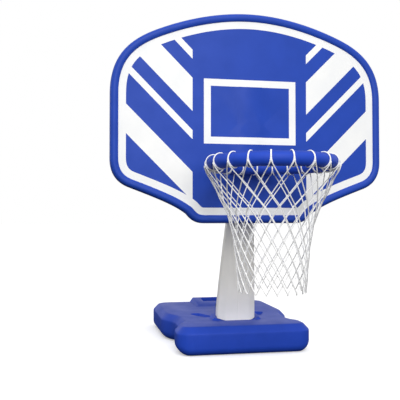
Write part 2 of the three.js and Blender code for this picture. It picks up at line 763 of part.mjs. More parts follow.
// The lattice of knots and cords, as one closed skin with a diamond hole in every mesh
function netLattice() {
  const positions = [];
  const quad = (a, b, c, d) => {
    for (const point of [a, b, c, a, c, d]) positions.push(point.x, point.y, point.z);
  };
  const lastRow = netRowShares.length - 1;
  const knots = netRowShares.map((_, row) => Array.from({ length: netLoopCount }, (__, column) => (
    { outer: knotCorners(row, column, 1), inner: knotCorners(row, column, -1) }
  )));
  const wall = (from, to, first, second) => (
    quad(from.outer[first], from.inner[first], to.inner[second], to.outer[second])
  );
  const [top, right, bottom, left] = [0, 1, 2, 3];
  for (let row = 0; row <= lastRow; row += 1) {
    for (let column = 0; column < netLoopCount; column += 1) {
      const knot = knots[row][column];
      quad(knot.outer[top], knot.outer[left], knot.outer[bottom], knot.outer[right]);
      quad(knot.inner[top], knot.inner[right], knot.inner[bottom], knot.inner[left]);
      if (row === 0) {
        wall(knot, knot, right, top);
        wall(knot, knot, top, left);
      }
      if (row === lastRow) {
        wall(knot, knot, bottom, right);
        wall(knot, knot, left, bottom);
        continue;
      }
      const shift = row % 2 === 0 ? 0 : 1;
      const rightKnot = knots[row + 1][(column + shift) % netLoopCount];
      const leftKnot = knots[row + 1][(column + shift + netLoopCount - 1) % netLoopCount];
      quad(knot.outer[right], knot.outer[bottom], rightKnot.outer[left], rightKnot.outer[top]);
      quad(knot.inner[bottom], knot.inner[right], rightKnot.inner[top], rightKnot.inner[left]);
      wall(rightKnot, knot, top, right);
      wall(knot, rightKnot, bottom, left);
      quad(knot.outer[bottom], knot.outer[left], leftKnot.outer[top], leftKnot.outer[right]);
      quad(knot.inner[left], knot.inner[bottom], leftKnot.inner[right], leftKnot.inner[top]);
      wall(leftKnot, knot, right, bottom);
      wall(knot, leftKnot, left, top);
    }
  }
  const geometry = new THREE.BufferGeometry();
  geometry.setAttribute("position", new THREE.Float32BufferAttribute(positions, 3));
  return geometry;
}

// One loop of the net around the rim's tube
function netLoop(column) {
  const inner = rimTubeRadius + loopClearance;
  const outer = inner + loopThickness;
  const half = loopWidth / 2;
  const profile = [[inner, -half], [outer, -half / 2], [outer, half / 2], [inner, half], [inner, -half]];
  const loopSteps = 10;
  const band = new THREE.LatheGeometry(profile.map(([r, y]) => new THREE.Vector2(r, y)), loopSteps);
  const angle = (column / netLoopCount) * 2 * Math.PI;
  band.rotateZ(Math.PI / 2).translate(0, -rimRadius, 0).rotateZ(angle).translate(0, rimY, rimHeight);
  return solid(band);
}

function net() {
  const loops = Array.from({ length: netLoopCount }, (_, column) => netLoop(column));
  return joined([solid(netLattice()), ...loops]);
}

// A hexagon-headed bolt along Z: its head's top is at 0 and it points down
function bolt(length) {
  const corner = boltHeadAcross / 2 / Math.cos(Math.PI / 6);
  const head = solid(upright(corner, -boltHeadHeight, 0, 0, 0, 6));
  return head.add(solid(upright(boltRadius, -length, -boltHeadHeight / 2, 0, 0)));
}

function nut() {
  const corner = nutAcross / 2 / Math.cos(Math.PI / 6);
  const bore = upright(boltHoleRadius, -cutOverrun, nutHeight + cutOverrun, 0, 0);
  return solid(upright(corner, 0, nutHeight, 0, 0, 6)).subtract(solid(bore));
}

const washer = () => ring(boltHoleRadius, washerRadius, 0, washerThickness);
const insert = () => ring(boltHoleRadius, insertRadius, 0, insertLength);

const hoop = new THREE.Group();

function place(name, shape, material, position = [0, 0, 0], rotation = [0, 0, 0]) {
  const geometry = shape.isBufferGeometry ? shape : geometryOf(shape);
  const mesh = new THREE.Mesh(geometry, material);
  mesh.name = name;
  mesh.position.set(...position);
  mesh.rotation.set(...rotation);
  hoop.add(mesh);
}

// Turns that point a piece made along +Z towards the player or away from the player
const towardsPlayer = [Math.PI / 2, 0, 0];
const awayFromPlayer = [-Math.PI / 2, 0, 0];

// Base
place("base_tank", baseTank(), bluePlastic);
place("ballast_water", ballastWater(), waterFill);
const fillSealTop = fillSealBottom + fillSealThickness;
place("fill_seal", ring(
  fillHoleRadius + seatGap, fillNeckRadius - seatGap, fillSealBottom, fillSealTop, fineSteps,
), rubberRing, [0, fillNeckBehindOrigin, 0]);
place("fill_cap", fillCap(), blackPlastic, [0, fillNeckBehindOrigin, 0]);
place("drain_seal", ring(drainHoleRadius + seatGap, drainFlangeRadius, 0, drainSealThickness), rubberRing,
  [0, rearEdgeY + drainSealFront, drainHeight], awayFromPlayer);
place("drain_plug", drainPlug(), blackPlastic,
  [0, rearEdgeY + drainPlugFront, drainHeight], awayFromPlayer);

// Pole and the bolts that hold it in the base
place("pole", pole(), greyPlastic);
place("pole_top_plug", poleTopPlug(), blackPlastic);
const sideNames = ["left", "right"];
const footWasherTop = wellTop - seatGap;
const footHeadTop = footWasherTop - washerThickness - seatGap;
footBoltX.forEach((x, index) => {
  const length = boltHeadHeight + poleBottom + insertLength - footHeadTop;
  const y = poleFootBack;
  const side = sideNames[index];
  place(`foot_bolt_${side}`, bolt(length), zincSteel,
    [x, y, footHeadTop - boltHeadHeight], [Math.PI, 0, 0]);
  place(`foot_washer_${side}`, washer(), zincSteel, [x, y, footWasherTop - washerThickness]);
  place(`foot_insert_${side}`, insert(), brassInsert, [x, y, poleBottom]);
});

// Backboard and the bolts that lock it to the pole
place("backboard", backboard(), bluePlastic);
const lockNames = ["lower", "upper"];
lockBoltHeights.forEach((z, index) => {
  const washerY = poleTopBackY + seatGap;
  const headY = washerY + washerThickness + seatGap;
  const length = boltHeadHeight + headY - (bossBackY - insertLength);
  const height = lockNames[index];
  place(`lock_bolt_${height}`, bolt(length), zincSteel, [0, headY + boltHeadHeight, z], awayFromPlayer);
  place(`lock_washer_${height}`, washer(), zincSteel, [0, washerY, z], awayFromPlayer);
  place(`lock_insert_${height}`, insert(), brassInsert, [0, bossBackY, z], towardsPlayer);
});

// Rim, its bolts and the net
place("rim", rim(), bluePlastic);
const rimBoltNames = ["lower_left", "lower_right", "upper_left", "upper_right"];
rimBoltPlaces().forEach(([x, z], index) => {
  const frontWasherY = flangeFrontY - seatGap;
  const headY = frontWasherY - washerThickness - seatGap - boltHeadHeight;
  const backWasherY = boardBackY + seatGap;
  const nutY = backWasherY + washerThickness + seatGap;
  const name = rimBoltNames[index];
  const length = nutY + nutHeight + boltTail - headY;
  place(`rim_bolt_${name}`, bolt(length), zincSteel, [x, headY, z], towardsPlayer);
  place(`rim_front_washer_${name}`, washer(), zincSteel, [x, frontWasherY, z], towardsPlayer);
  place(`rim_back_washer_${name}`, washer(), zincSteel, [x, backWasherY, z], awayFromPlayer);
  place(`rim_nut_${name}`, nut(), zincSteel, [x, nutY, z], awayFromPlayer);
});
place("net", net(), netCord);

export default hoop;
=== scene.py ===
# %% [markdown]
# # A poolside basketball hoop
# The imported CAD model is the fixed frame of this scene: it says where every piece goes and how the two
# caps turn. This notebook gives the hoop its looks. Each visible moulding is built again with smooth
# edges, and gets the finish of the real material.

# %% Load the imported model
from math import cos, pi, radians, sin

import bmesh
import bpy
from mathutils import Matrix, Vector
from mathutils.geometry import interpolate_bezier


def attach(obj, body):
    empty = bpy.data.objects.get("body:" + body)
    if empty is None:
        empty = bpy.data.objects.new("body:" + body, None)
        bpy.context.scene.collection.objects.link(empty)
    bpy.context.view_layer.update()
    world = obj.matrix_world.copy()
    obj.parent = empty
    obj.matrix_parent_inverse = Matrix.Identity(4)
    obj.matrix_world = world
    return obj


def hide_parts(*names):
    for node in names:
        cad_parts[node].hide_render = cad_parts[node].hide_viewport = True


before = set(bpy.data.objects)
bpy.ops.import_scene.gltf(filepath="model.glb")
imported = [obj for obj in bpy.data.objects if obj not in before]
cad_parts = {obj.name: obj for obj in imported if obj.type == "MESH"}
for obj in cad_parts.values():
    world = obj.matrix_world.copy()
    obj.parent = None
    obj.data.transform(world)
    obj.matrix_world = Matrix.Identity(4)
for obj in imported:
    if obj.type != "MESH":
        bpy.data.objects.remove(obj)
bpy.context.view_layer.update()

# The hoop's lengths below are in millimetres, and this turns them into the scene's metres
MM = 0.001
ROOT_BODY = "hoop"

# %% [markdown]
# ## Camera
# The camera stands where the photographer stood: a little left of the hoop and below its rim, looking
# slightly up. Its place and lens come from fitting the board, the rim, the net and the base to the picture.

# %% Camera
CAMERA_PLACE = Vector((-529.8, -2100.2, 445.6)) * MM
CAMERA_YAW = radians(10.90)
CAMERA_PITCH = radians(1.47)
FOCAL_PIXELS = 625.3
FRAME_PIXELS = 400
SENSOR_WIDTH = 36.0

camera_data = bpy.data.cameras.new("photo_camera")
camera_data.sensor_width = SENSOR_WIDTH
camera_data.lens = FOCAL_PIXELS / FRAME_PIXELS * SENSOR_WIDTH
camera = bpy.data.objects.new("photo_camera", camera_data)
camera.location = CAMERA_PLACE
camera.rotation_euler = (pi / 2 + CAMERA_PITCH, 0, -CAMERA_YAW)
scene = bpy.context.scene
scene.collection.objects.link(camera)
scene.camera = camera
print("Lens:", round(camera_data.lens, 2), "mm")


# %% [markdown]
# ## Small helpers
# Colours are written as the hex values that a paint chart would give. Blender works in linear light, so one
# function turns them. Another one adds a node, sets it and links it, so that a material reads as a list. The
# last two put a shape into the scene.

# %% Colour and node helpers
def linear(hex_colour):
    """Turn an sRGB hex colour into the linear colour that Blender uses."""
    channels = [int(hex_colour[start:start + 2], 16) / 255 for start in (1, 3, 5)]
    return [c / 12.92 if c <= 0.04045 else ((c + 0.055) / 1.055) ** 2.4 for c in channels] + [1.0]


def feed(tree, node, inputs):
    """Give each input of a node a value or a link."""
    for socket, value in inputs.items():
        if isinstance(value, bpy.types.NodeSocket):
            tree.links.new(value, node.inputs[socket])
        else:
            node.inputs[socket].default_value = value


def add(tree, kind, inputs=(), **settings):
    """Add a node, set its properties, and feed its inputs."""
    node = tree.nodes.new(kind)
    for name, value in settings.items():
        setattr(node, name, value)
    feed(tree, node, dict(inputs))
    return node


def new_material(name):
    """Start an empty node material and return it with its tree, shader and object coordinates."""
    material = bpy.data.materials.new(name)
    material.use_nodes = True
    tree = material.node_tree
    tree.nodes.clear()
    shader = add(tree, "ShaderNodeBsdfPrincipled")
    add(tree, "ShaderNodeOutputMaterial", {"Surface": shader.outputs["BSDF"]})
    place = add(tree, "ShaderNodeTexCoord").outputs["Object"]
    return material, tree, shader, place


# %% Mesh and object helpers
def mesh_from(bm, name="pattern"):
    """Keep a bmesh as a mesh."""
    mesh = bpy.data.meshes.new(name)
    bm.to_mesh(mesh)
    bm.free()
    return mesh


def object_from(bm, name):
    """Put a bmesh into the scene as an object."""
    made = bpy.data.objects.new(name, mesh_from(bm, name))
    scene.collection.objects.link(made)
    return made


# %% [markdown]
# ## Light and floor
# The light is even, as in a white tent: a white sky gives most of it, and two soft lamps in front shape it.
# The camera sees the sky white and the floor nearly white, so that only the shadow shows.

# %% Sky
SKY_STRENGTH = 0.88
world = bpy.data.worlds.new("overcast_sky")
world.use_nodes = True
scene.world = world
sky = world.node_tree
sky.nodes.clear()
ray = add(sky, "ShaderNodeLightPath")
seen = ray.outputs["Is Camera Ray"]
for kind in ("Is Glossy Ray", "Is Transmission Ray"):
    seen = add(sky, "ShaderNodeMath", {0: seen, 1: ray.outputs[kind]}, operation="MAXIMUM").outputs[0]
light_sky = add(sky, "ShaderNodeBackground", {"Color": linear("#FFFFFF"), "Strength": SKY_STRENGTH})
white_sky = add(sky, "ShaderNodeBackground", {"Color": linear("#FFFFFF"), "Strength": 1.0})
mixed = add(sky, "ShaderNodeMixShader", {0: seen, 1: light_sky.outputs[0], 2: white_sky.outputs[0]})
add(sky, "ShaderNodeOutputWorld", {"Surface": mixed.outputs[0]})
print("Sky:", len(sky.nodes), "nodes, strength", SKY_STRENGTH)


# %% Lamps
def soft_lamp(name, place, target, size, watts):
    """A square area lamp that looks at a point."""
    data = bpy.data.lights.new(name, "AREA")
    data.shape = "SQUARE"
    data.size = size
    data.energy = watts
    lamp = bpy.data.objects.new(name, data)
    lamp.location = place
    lamp.rotation_euler = (Vector(target) - Vector(place)).to_track_quat("-Z", "Y").to_euler()
    scene.collection.objects.link(lamp)
    print(name, watts, "W over", size, "m")


soft_lamp("key_softbox", (-0.2, -2.6, 2.4), target=(0, -0.15, 0.55), size=1.1, watts=32)
soft_lamp("front_fill", (-0.4, -3.4, 0.95), target=(0, 0, 0.4), size=1.8, watts=29.5)

# %% Floor
# The camera sees it nearly white, while the light that it throws back up is that of a grey carpet.
FLOOR_GLOW = 0.32
floor_material = bpy.data.materials.new("pale studio floor")
floor_material.use_nodes = True
tree = floor_material.node_tree
tree.nodes.clear()
ray = add(tree, "ShaderNodeLightPath")
pale = add(tree, "ShaderNodeBsdfDiffuse", {"Color": linear("#F4F4F4")})
glow = add(tree, "ShaderNodeEmission", {"Color": linear("#FFFFFF"), "Strength": FLOOR_GLOW})
seen_floor = add(tree, "ShaderNodeAddShader", {0: pale.outputs[0], 1: glow.outputs[0]})
carpet = add(tree, "ShaderNodeBsdfDiffuse", {"Color": linear("#3C3C3C")})
either = add(tree, "ShaderNodeMixShader", {
    0: ray.outputs["Is Camera Ray"], 1: carpet.outputs[0], 2: seen_floor.outputs[0]})
add(tree, "ShaderNodeOutputMaterial", {"Surface": either.outputs[0]})
bm = bmesh.new()
bmesh.ops.create_grid(bm, x_segments=1, y_segments=1, size=30)
floor = object_from(bm, "studio_floor")
floor.data.materials.append(floor_material)
print("Floor:", floor_material.name)

# %% [markdown]
# ## Moulded polyethylene
# The tank, the board, the rim and the pole are blow-moulded polyethylene: a slightly waxy, satin plastic.
# The mould's sandblasted wall leaves a fine grain, and the skin cools unevenly, which gives slow waves of
# some 70 mm in its gloss. A picture of the grain would do, but it has seams, so both are noise. Upper faces
# get painted shade, so each material says how much of its colour a face that points up loses.

# %% Polyethylene
# A sandblasted mould's grain is some 0.4 mm, too fine to show, so it is drawn as coarse as it needs to show
MOULD_GRAIN = 1.6 * MM
GRAIN_HEIGHT = 0.3 * MM
SKIN_WAVE = 70 * MM
WAVE_HEIGHT = 1.2 * MM
PLASTIC_IOR = 1.51
PLASTIC_SPECULAR = 0.17


def moulded_polyethylene(name, colour, shade, roughness, grain=0.12, top_shade=0.0):
    """Satin blow-moulded plastic with mould grain, slow waves, and painted shade on upper faces."""
    material, tree, shader, place = new_material(name)
    wave = add(tree, "ShaderNodeTexNoise", {"Vector": place, "Scale": 1 / SKIN_WAVE, "Detail": 3.0})
    tint = add(tree, "ShaderNodeValToRGB", {"Fac": wave.outputs["Fac"]})
    for stop, (position, hex_colour) in zip(tint.color_ramp.elements, ((0.3, colour), (0.7, shade))):
        stop.position = position
        stop.color = linear(hex_colour)
    fine = add(tree, "ShaderNodeTexNoise", {"Vector": place, "Scale": 1 / MOULD_GRAIN, "Detail": 2.0})
    gloss = add(tree, "ShaderNodeMapRange", {
        "Value": wave.outputs["Fac"], "From Min": 0.3, "From Max": 0.7,
        "To Min": roughness - 0.04, "To Max": roughness + 0.05})
    slow = add(tree, "ShaderNodeBump", {
        "Height": wave.outputs["Fac"], "Strength": 0.25, "Distance": WAVE_HEIGHT})
    bump = add(tree, "ShaderNodeBump", {
        "Height": fine.outputs["Fac"], "Strength": grain, "Distance": GRAIN_HEIGHT,
        "Normal": slow.outputs[0]})
    # Painted shade: a face that points up loses part of its colour, more the more it points up.
    surface = add(tree, "ShaderNodeNewGeometry")
    facing = add(tree, "ShaderNodeSeparateXYZ", {0: surface.outputs["Normal"]})
    keep = add(tree, "ShaderNodeMapRange", {
        "Value": facing.outputs["Z"], "From Min": 0.5, "From Max": 0.95,
        "To Min": 1.0, "To Max": 1.0 - top_shade})
    top_shaded = add(tree, "ShaderNodeVectorMath", {
        0: tint.outputs["Color"], "Scale": keep.outputs[0]}, operation="SCALE")
    feed(tree, shader, {
        "Base Color": top_shaded.outputs["Vector"], "Roughness": gloss.outputs[0], "Normal": bump.outputs[0],
        "IOR": PLASTIC_IOR, "Specular IOR Level": PLASTIC_SPECULAR})
    return material


# The tank and the rim: deep blue satin walls, and a deck darkened a little by painted shade.
TANK_BLUE = moulded_polyethylene(
    "blow-moulded blue polyethylene", "#2348BC", "#2044B2", roughness=0.5, top_shade=0.22)
# The board: the same blue a touch glossier, so that the bead catches a soft line of light.
BOARD_BLUE = moulded_polyethylene("printed blue board face", "#2449B2", "#2145AA", roughness=0.42)
# The print: a clean white with hardly any tone in it, which makes the pattern read from afar.
PRINT_WHITE = moulded_polyethylene("white printed band", "#FAFAF8", "#F3F4F4", roughness=0.42)
# The pole: pale and slightly warm, so that its facets show as soft steps of grey.
POLE_GREY = moulded_polyethylene(
    "blow-moulded light grey polyethylene", "#FFFCF4", "#F7F5ED", roughness=0.4)
# The caps: near black with a coarser grain, which tells them from the blue mouldings.
CAP_BLACK = moulded_polyethylene(
    "black moulded polypropylene", "#1D1E21", "#17181A", roughness=0.45, grain=0.3)
for material in (TANK_BLUE, BOARD_BLUE, PRINT_WHITE, POLE_GREY, CAP_BLACK):
    print("plastic:", material.name)


# %% [markdown]
# ## Metal, rubber and cord
# The bolts are zinc-plated steel, the threaded inserts brass, and the sealing rings black rubber. The net is
# twisted polyester cord, matt and slightly fuzzy, so it gets a little sheen. One plain value for each would
# do from afar, but a metal without marks looks like a mirror, so a fine noise varies it.

# %% Metal, rubber, cord and water
FIBRE_HEIGHT = 0.2 * MM


def plain_metal(name, colour, roughness, mark_size):
    """A metal with fine uneven plating marks."""
    material, tree, shader, place = new_material(name)
    marks = add(tree, "ShaderNodeTexNoise", {"Vector": place, "Scale": 1 / mark_size, "Detail": 4.0})
    rough = add(tree, "ShaderNodeMapRange", {
        "Value": marks.outputs["Fac"], "To Min": roughness - 0.1, "To Max": roughness + 0.15})
    feed(tree, shader, {"Base Color": linear(colour), "Metallic": 1.0, "Roughness": rough.outputs[0]})
    return material


def soft_stuff(name, colour, shade, grain_size, roughness, sheen=0.0):
    """A matt, fine-grained material such as rubber or twisted cord."""
    material, tree, shader, place = new_material(name)
    grain = add(tree, "ShaderNodeTexNoise", {"Vector": place, "Scale": 1 / grain_size, "Detail": 3.0})
    tint = add(tree, "ShaderNodeValToRGB", {"Fac": grain.outputs["Fac"]})
    for stop, (position, hex_colour) in zip(tint.color_ramp.elements, ((0.3, shade), (0.6, colour))):
        stop.position = position
        stop.color = linear(hex_colour)
    bump = add(tree, "ShaderNodeBump", {
        "Height": grain.outputs["Fac"], "Strength": 0.3, "Distance": FIBRE_HEIGHT})
    feed(tree, shader, {
        "Base Color": tint.outputs["Color"], "Normal": bump.outputs[0], "Roughness": roughness,
        "Sheen Weight": sheen})
    return material


# The bolts: small bright points, softened by the uneven grey of their plating.
ZINC_STEEL = plain_metal("zinc-plated steel", "#C3C6C9", 0.32, 3 * MM)
# The threaded inserts: warm yellow metal.
BRASS = plain_metal("turned brass", "#B8924E", 0.3, 2 * MM)
# The sealing rings: a dull dark line under each cap.
RUBBER = soft_stuff("black sealing rubber", "#1F1F20", "#151516", 0.6 * MM, 0.8)
# The net: plain white, broken up by the lay of the cord and a slight fuzz. Its yarns are some 0.4 mm thick
# and are drawn at 1.2 mm, as coarse as they need to show.
NET_CORD = soft_stuff("white twisted polyester cord", "#FFFFFF", "#F0F0EF", 1.2 * MM, 0.75, sheen=0.15)
# The ballast: clear water with a faint blue tint.
WATER, water_tree, water_shader, _ = new_material("ballast water")
feed(water_tree, water_shader, {
    "Base Color": linear("#8FC0D8"), "Roughness": 0.05, "Transmission Weight": 0.6, "IOR": 1.33})

# %% [markdown]
# Every CAD node gets a finish too. Most are replaced below by a better shape, but the ballast and the
# threaded inserts, which nobody sees, keep the CAD model's.

# %% A finish for each CAD node
CAD_FINISHES = (
    ("ballast_water", WATER), ("fill_seal", RUBBER), ("drain_seal", RUBBER), ("fill_cap", CAP_BLACK),
    ("drain_plug", CAP_BLACK), ("pole_top_plug", CAP_BLACK), ("insert", BRASS), ("bolt", ZINC_STEEL),
    ("washer", ZINC_STEEL), ("nut", ZINC_STEEL), ("base_tank", TANK_BLUE), ("backboard", BOARD_BLUE),
    ("rim", TANK_BLUE), ("pole", POLE_GREY), ("net", NET_CORD),
)
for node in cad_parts:
    solid = bpy.data.objects[node]
    finish = next(material for word, material in CAD_FINISHES if word in node)
    solid.data.materials.clear()
    solid.data.materials.append(finish)
print("CAD nodes with a finish:", len(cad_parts))


# %% [markdown]
# ## Shaping helpers
# A moulding here is a stack of rings: its first ring is a face, and each further ring is that face extruded
# and its corners moved. Insetting an outline by the same distance all round gives the rings of a rounded
# edge. A boolean then joins or cuts further forms, and a bevel softens the edges that it leaves. One box
# shaped by hand would take fewer steps, but it couldn't keep to the frame's sizes.

# %% Outlines
def inset(outline, distance):
    """Move an anticlockwise outline inwards by one distance."""
    moved = []
    for index, point in enumerate(outline):
        before, after = outline[index - 1], outline[(index + 1) % len(outline)]
        first, second = (point - before).normalized(), (after - point).normalized()
        normals = Vector((-first.y, first.x)), Vector((-second.y, second.x))
        mitre = normals[0] + normals[1]
        moved.append(point + mitre * (distance / (1 + normals[0].dot(normals[1]))))
    return moved


def mirrored(half):
    """Join a right half that starts and ends on the middle line to its mirror image."""
    return half + [Vector((-point.x, point.y)) for point in reversed(half[1:-1])]


def arc(middle, radius, start, end, steps):
    """Points of an arc, both ends included."""
    turns = [radians(start + (end - start) * step / steps) for step in range(steps + 1)]
    return [Vector((middle[0] + radius * cos(turn), middle[1] + radius * sin(turn))) for turn in turns]


def curve(start, first, second, end, steps):
    """Points of a Bezier curve, both ends included."""
    corners = [Vector((x, y, 0)) for x, y in (start, first, second, end)]
    return [point.to_2d() for point in interpolate_bezier(*corners, steps + 1)]


# %% Stacks of rings
def stack(bm, rings):
    """Close a moulding over rings of points, and return its last face."""
    first = top = bm.faces.new([bm.verts.new(point) for point in rings[0]])
    for ring, previous in zip(rings[1:], rings):
        made = bmesh.ops.extrude_face_region(bm, geom=[top])["geom"]
        corners = [item for item in made if isinstance(item, bmesh.types.BMVert)]
        places = {tuple(round(c, 7) for c in Vector(point)): index for index, point in enumerate(previous)}
        for corner in corners:
            corner.co = ring[places[tuple(round(c, 7) for c in corner.co)]]
        if top is not first:
            bm.faces.remove(top)
        top = next(item for item in made if isinstance(item, bmesh.types.BMFace))
    return top


def stacked(rings):
    """A bmesh of one stack of rings."""
    bm = bmesh.new()
    stack(bm, rings)
    return bm


def at_height(outline, height):
    """Lay an outline in millimetres flat at a height."""
    return [Vector((point.x, point.y, height)) * MM for point in outline]


# %% Pieces, cuts and soft edges
def smooth_shade(mesh, angle):
    """Shade a mesh smooth, with sharp edges above an angle."""
    mesh.shade_smooth()
    mesh.set_sharp_from_angle(angle=radians(angle))


def finish_piece(name, bm, materials, replaced, smooth_below=32, body=ROOT_BODY):
    """Turn a bmesh into a piece that rides on a body and stands for some nodes."""
    bmesh.ops.recalc_face_normals(bm, faces=bm.faces)
    piece = object_from(bm, name)
    for material in materials:
        piece.data.materials.append(material)
    smooth_shade(piece.data, smooth_below)
    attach(piece, body)
    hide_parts(*replaced)
    print(name, len(piece.data.polygons), "faces")
    return piece


def soften(piece, width, segments, angle=32):
    """Round the sharp edges of a piece, and leave nothing live on it."""
    bevel = piece.modifiers.new("soft edges", "BEVEL")
    bevel.width = width
    bevel.segments = segments
    bevel.limit_method = "ANGLE"
    bevel.angle_limit = radians(angle)
    apply_modifiers(piece)
    smooth_shade(piece.data, angle)
    print(piece.name, len(piece.data.polygons), "faces with its cuts and soft edges")


def apply_modifiers(piece):
    """Replace a piece's mesh by what its modifiers make of it."""
    shaped = piece.evaluated_get(bpy.context.evaluated_depsgraph_get())
    mesh = bpy.data.meshes.new_from_object(shaped)
    piece.modifiers.clear()
    piece.data = mesh


def cut(piece, bm, operation="DIFFERENCE"):
    """Cut a form out of a piece, or join it on, or keep only what they share."""
    bmesh.ops.recalc_face_normals(bm, faces=bm.faces)
    cutter = object_from(bm, "cutter")
    boolean = piece.modifiers.new("cut", "BOOLEAN")
    boolean.object = cutter
    boolean.operation = operation
    boolean.solver = "EXACT"
    apply_modifiers(piece)
    bpy.data.objects.remove(cutter)


# %% [markdown]
# ## Base tank
# The tank is a flat hollow moulding with a front bar, a waist that a foot fits beside, and a wide rear lobe.
# Its deck edge is a broad chamfer with small rounds, and the underside is rounded, more along the sides than
# at the ends. A box with bevels would be quicker, but its rounding can't change along a side, so the rings
# below follow the plan from the floor up to the deck, each with an inset of its own.

# %% Plan of the tank
FRONT_EDGE = -148
BASE_DEPTH = 628
FRONT_HALF = 223
WAIST_HALF = 199
REAR_HALF = 235
DECK = 92
FRONT_CORNER = 45
REAR_CORNER = 62
FRONT_BEND = (78, 150)
REAR_BEND = (212, 345)


def side_bend(half, next_half, bend, steps):
    """The S-shaped side of the plan between two widths."""
    middle = sum(bend) / 2
    return curve((half, bend[0]), (half, middle), (next_half, middle), (next_half, bend[1]), steps)


plan_half = [Vector((0, 0))]
plan_half += arc((FRONT_HALF - FRONT_CORNER, FRONT_CORNER), FRONT_CORNER, -90, 0, 12)
plan_half += side_bend(FRONT_HALF, WAIST_HALF, FRONT_BEND, 14)
plan_half += side_bend(WAIST_HALF, REAR_HALF, REAR_BEND, 18)
plan_half += arc((REAR_HALF - REAR_CORNER, BASE_DEPTH - REAR_CORNER), REAR_CORNER, 0, 90, 14)
plan_half += [Vector((0, BASE_DEPTH))]
plan = [point + Vector((0, FRONT_EDGE)) for point in mirrored(plan_half)]

END_ROUND = 26
FRONT_SIDE_ROUND = 39
REAR_SIDE_ROUND = 26
ROUND_STEPS = 8
# Inset and height of the wall's top, of the chamfer, and of the small rounds at its two edges
DECK_EDGE = ((0, 66), (0.3, 69.4), (1.3, 72), (3.2, 74.4),
             (16.6, 88.2), (18.8, 90.2), (21.6, 91.5), (25, DECK))

inward_moves = [moved - point for point, moved in zip(plan, inset(plan, 1))]
# Radius of the underside's rounding at each point of the plan
rounds = []
for point, move in zip(plan, inward_moves):
    backwards = (point.y - FRONT_EDGE) / BASE_DEPTH
    side = FRONT_SIDE_ROUND + (REAR_SIDE_ROUND - FRONT_SIDE_ROUND) * backwards
    rounds.append(END_ROUND + (side - END_ROUND) * min(move.x ** 2, 1))
tank_rings = []
for step in range(ROUND_STEPS + 1):
    turn = step / ROUND_STEPS * pi / 2
    tank_rings.append([
        Vector((*(point + move * (radius * (1 - sin(turn)))), radius * (1 - cos(turn)))) * MM
        for point, move, radius in zip(plan, inward_moves, rounds)
    ])
for inwards, height in DECK_EDGE:
    tank_rings.append(at_height(inset(plan, inwards), height))
tank = finish_piece("tank_shell", stacked(tank_rings), [TANK_BLUE], ["base_tank"])

# %% [markdown]
# The raised block at the back, the collar round the pole's foot and the fill neck are joined on; the hand
# hold, the two stiffening recesses, the socket and the holes are cut out. Each is a stack of rings or a
# turned form of its own, which a boolean joins to the tank or cuts from it.

# %% Raised block
# How far a joined form reaches below the deck, and a cutting form beyond what it cuts
ROOT = 6
OVERRUN = 20
BLOCK_WIDTH = 160
BLOCK_LENGTH = 146
BLOCK_MIDDLE = 385
BLOCK_SLOPE = 10
BLOCK_FRONT_TOP = DECK + 5
BLOCK_TOP = DECK + 18


def rectangle(width, length, middle):
    """Corners of a rectangle centred on X = 0."""
    half = width / 2
    return [Vector((x, middle + y * length / 2)) for x, y in ((-half, -1), (half, -1), (half, 1), (-half, 1))]


block_foot = rectangle(BLOCK_WIDTH, BLOCK_LENGTH, BLOCK_MIDDLE)
block_crown = [Vector((point.x, point.y, BLOCK_FRONT_TOP if point.y < BLOCK_MIDDLE else BLOCK_TOP)) * MM
               for point in inset(block_foot, BLOCK_SLOPE)]
block_rings = [at_height(block_foot, DECK - ROOT), at_height(block_foot, DECK), block_crown]
cut(tank, stacked(block_rings), "UNION")
print("tank with its block:", len(tank.data.polygons), "faces")

# %% Collar round the pole's foot
# Corners of the pole's octagon, as shares of its half width and half depth
POLE_SECTION = ((-0.64, -1), (0.64, -1), (1, -0.48), (1, 0.4), (0.66, 1), (-0.66, 1), (-1, 0.4), (-1, -0.48))
FOOT_HALF_WIDTH = 65.75
FOOT_HALF_DEPTH = 38
FOOT_BACK = 12
FOOT_FRONT = FOOT_BACK - FOOT_HALF_DEPTH
COLLAR_WIDTH = 12
COLLAR_HEIGHT = 15
COLLAR_RAMP = 26


def foot_section(outwards):
    """Octagon of the pole's foot, grown outwards."""
    section = [Vector((x * FOOT_HALF_WIDTH, FOOT_BACK + y * FOOT_HALF_DEPTH)) for x, y in POLE_SECTION]
    return inset(section, -outwards)


collar_foot = foot_section(COLLAR_WIDTH + COLLAR_HEIGHT / 2)
collar_rings = [at_height(collar_foot, DECK - ROOT), at_height(collar_foot, DECK),
                at_height(foot_section(COLLAR_WIDTH), DECK + COLLAR_HEIGHT)]
# The collar slopes down to the front of the foot
for ring in collar_rings:
    for point in ring:
        sloped = DECK + COLLAR_HEIGHT * (point.y / MM - FOOT_FRONT) / COLLAR_RAMP
        point.z = min(point.z, max(sloped, DECK - ROOT) * MM)
cut(tank, stacked(collar_rings), "UNION")
print("tank with its collar:", len(tank.data.polygons), "faces")

# %% Fill neck, hand hold and recesses
NECK_BACK = 190
NECK_RADIUS = 28
NECK_TOP = DECK + 10
neck = arc((0, NECK_BACK), NECK_RADIUS, 0, 360, 48)[:-1]
cut(tank, stacked([at_height(neck, height) for height in (DECK - ROOT, NECK_TOP)]), "UNION")

HOLD_WIDTH = 82
HOLD_LENGTH = 62
HOLD_MIDDLE = 409
HOLD_SLOPE = 5
HOLD_FLOOR = BLOCK_TOP - 20
HOLD_FLARE = BLOCK_TOP + 5
hold_mouth = rectangle(HOLD_WIDTH, HOLD_LENGTH, HOLD_MIDDLE)
cut(tank, stacked([at_height(inset(hold_mouth, HOLD_SLOPE), HOLD_FLOOR), at_height(hold_mouth, HOLD_FLARE),
                   at_height(hold_mouth, BLOCK_TOP + OVERRUN)]))

RECESS_RADIUS = 21
RECESS_REACH = 31
RECESS_TURN = radians(24)
RECESS_PLACE = (102, 99)
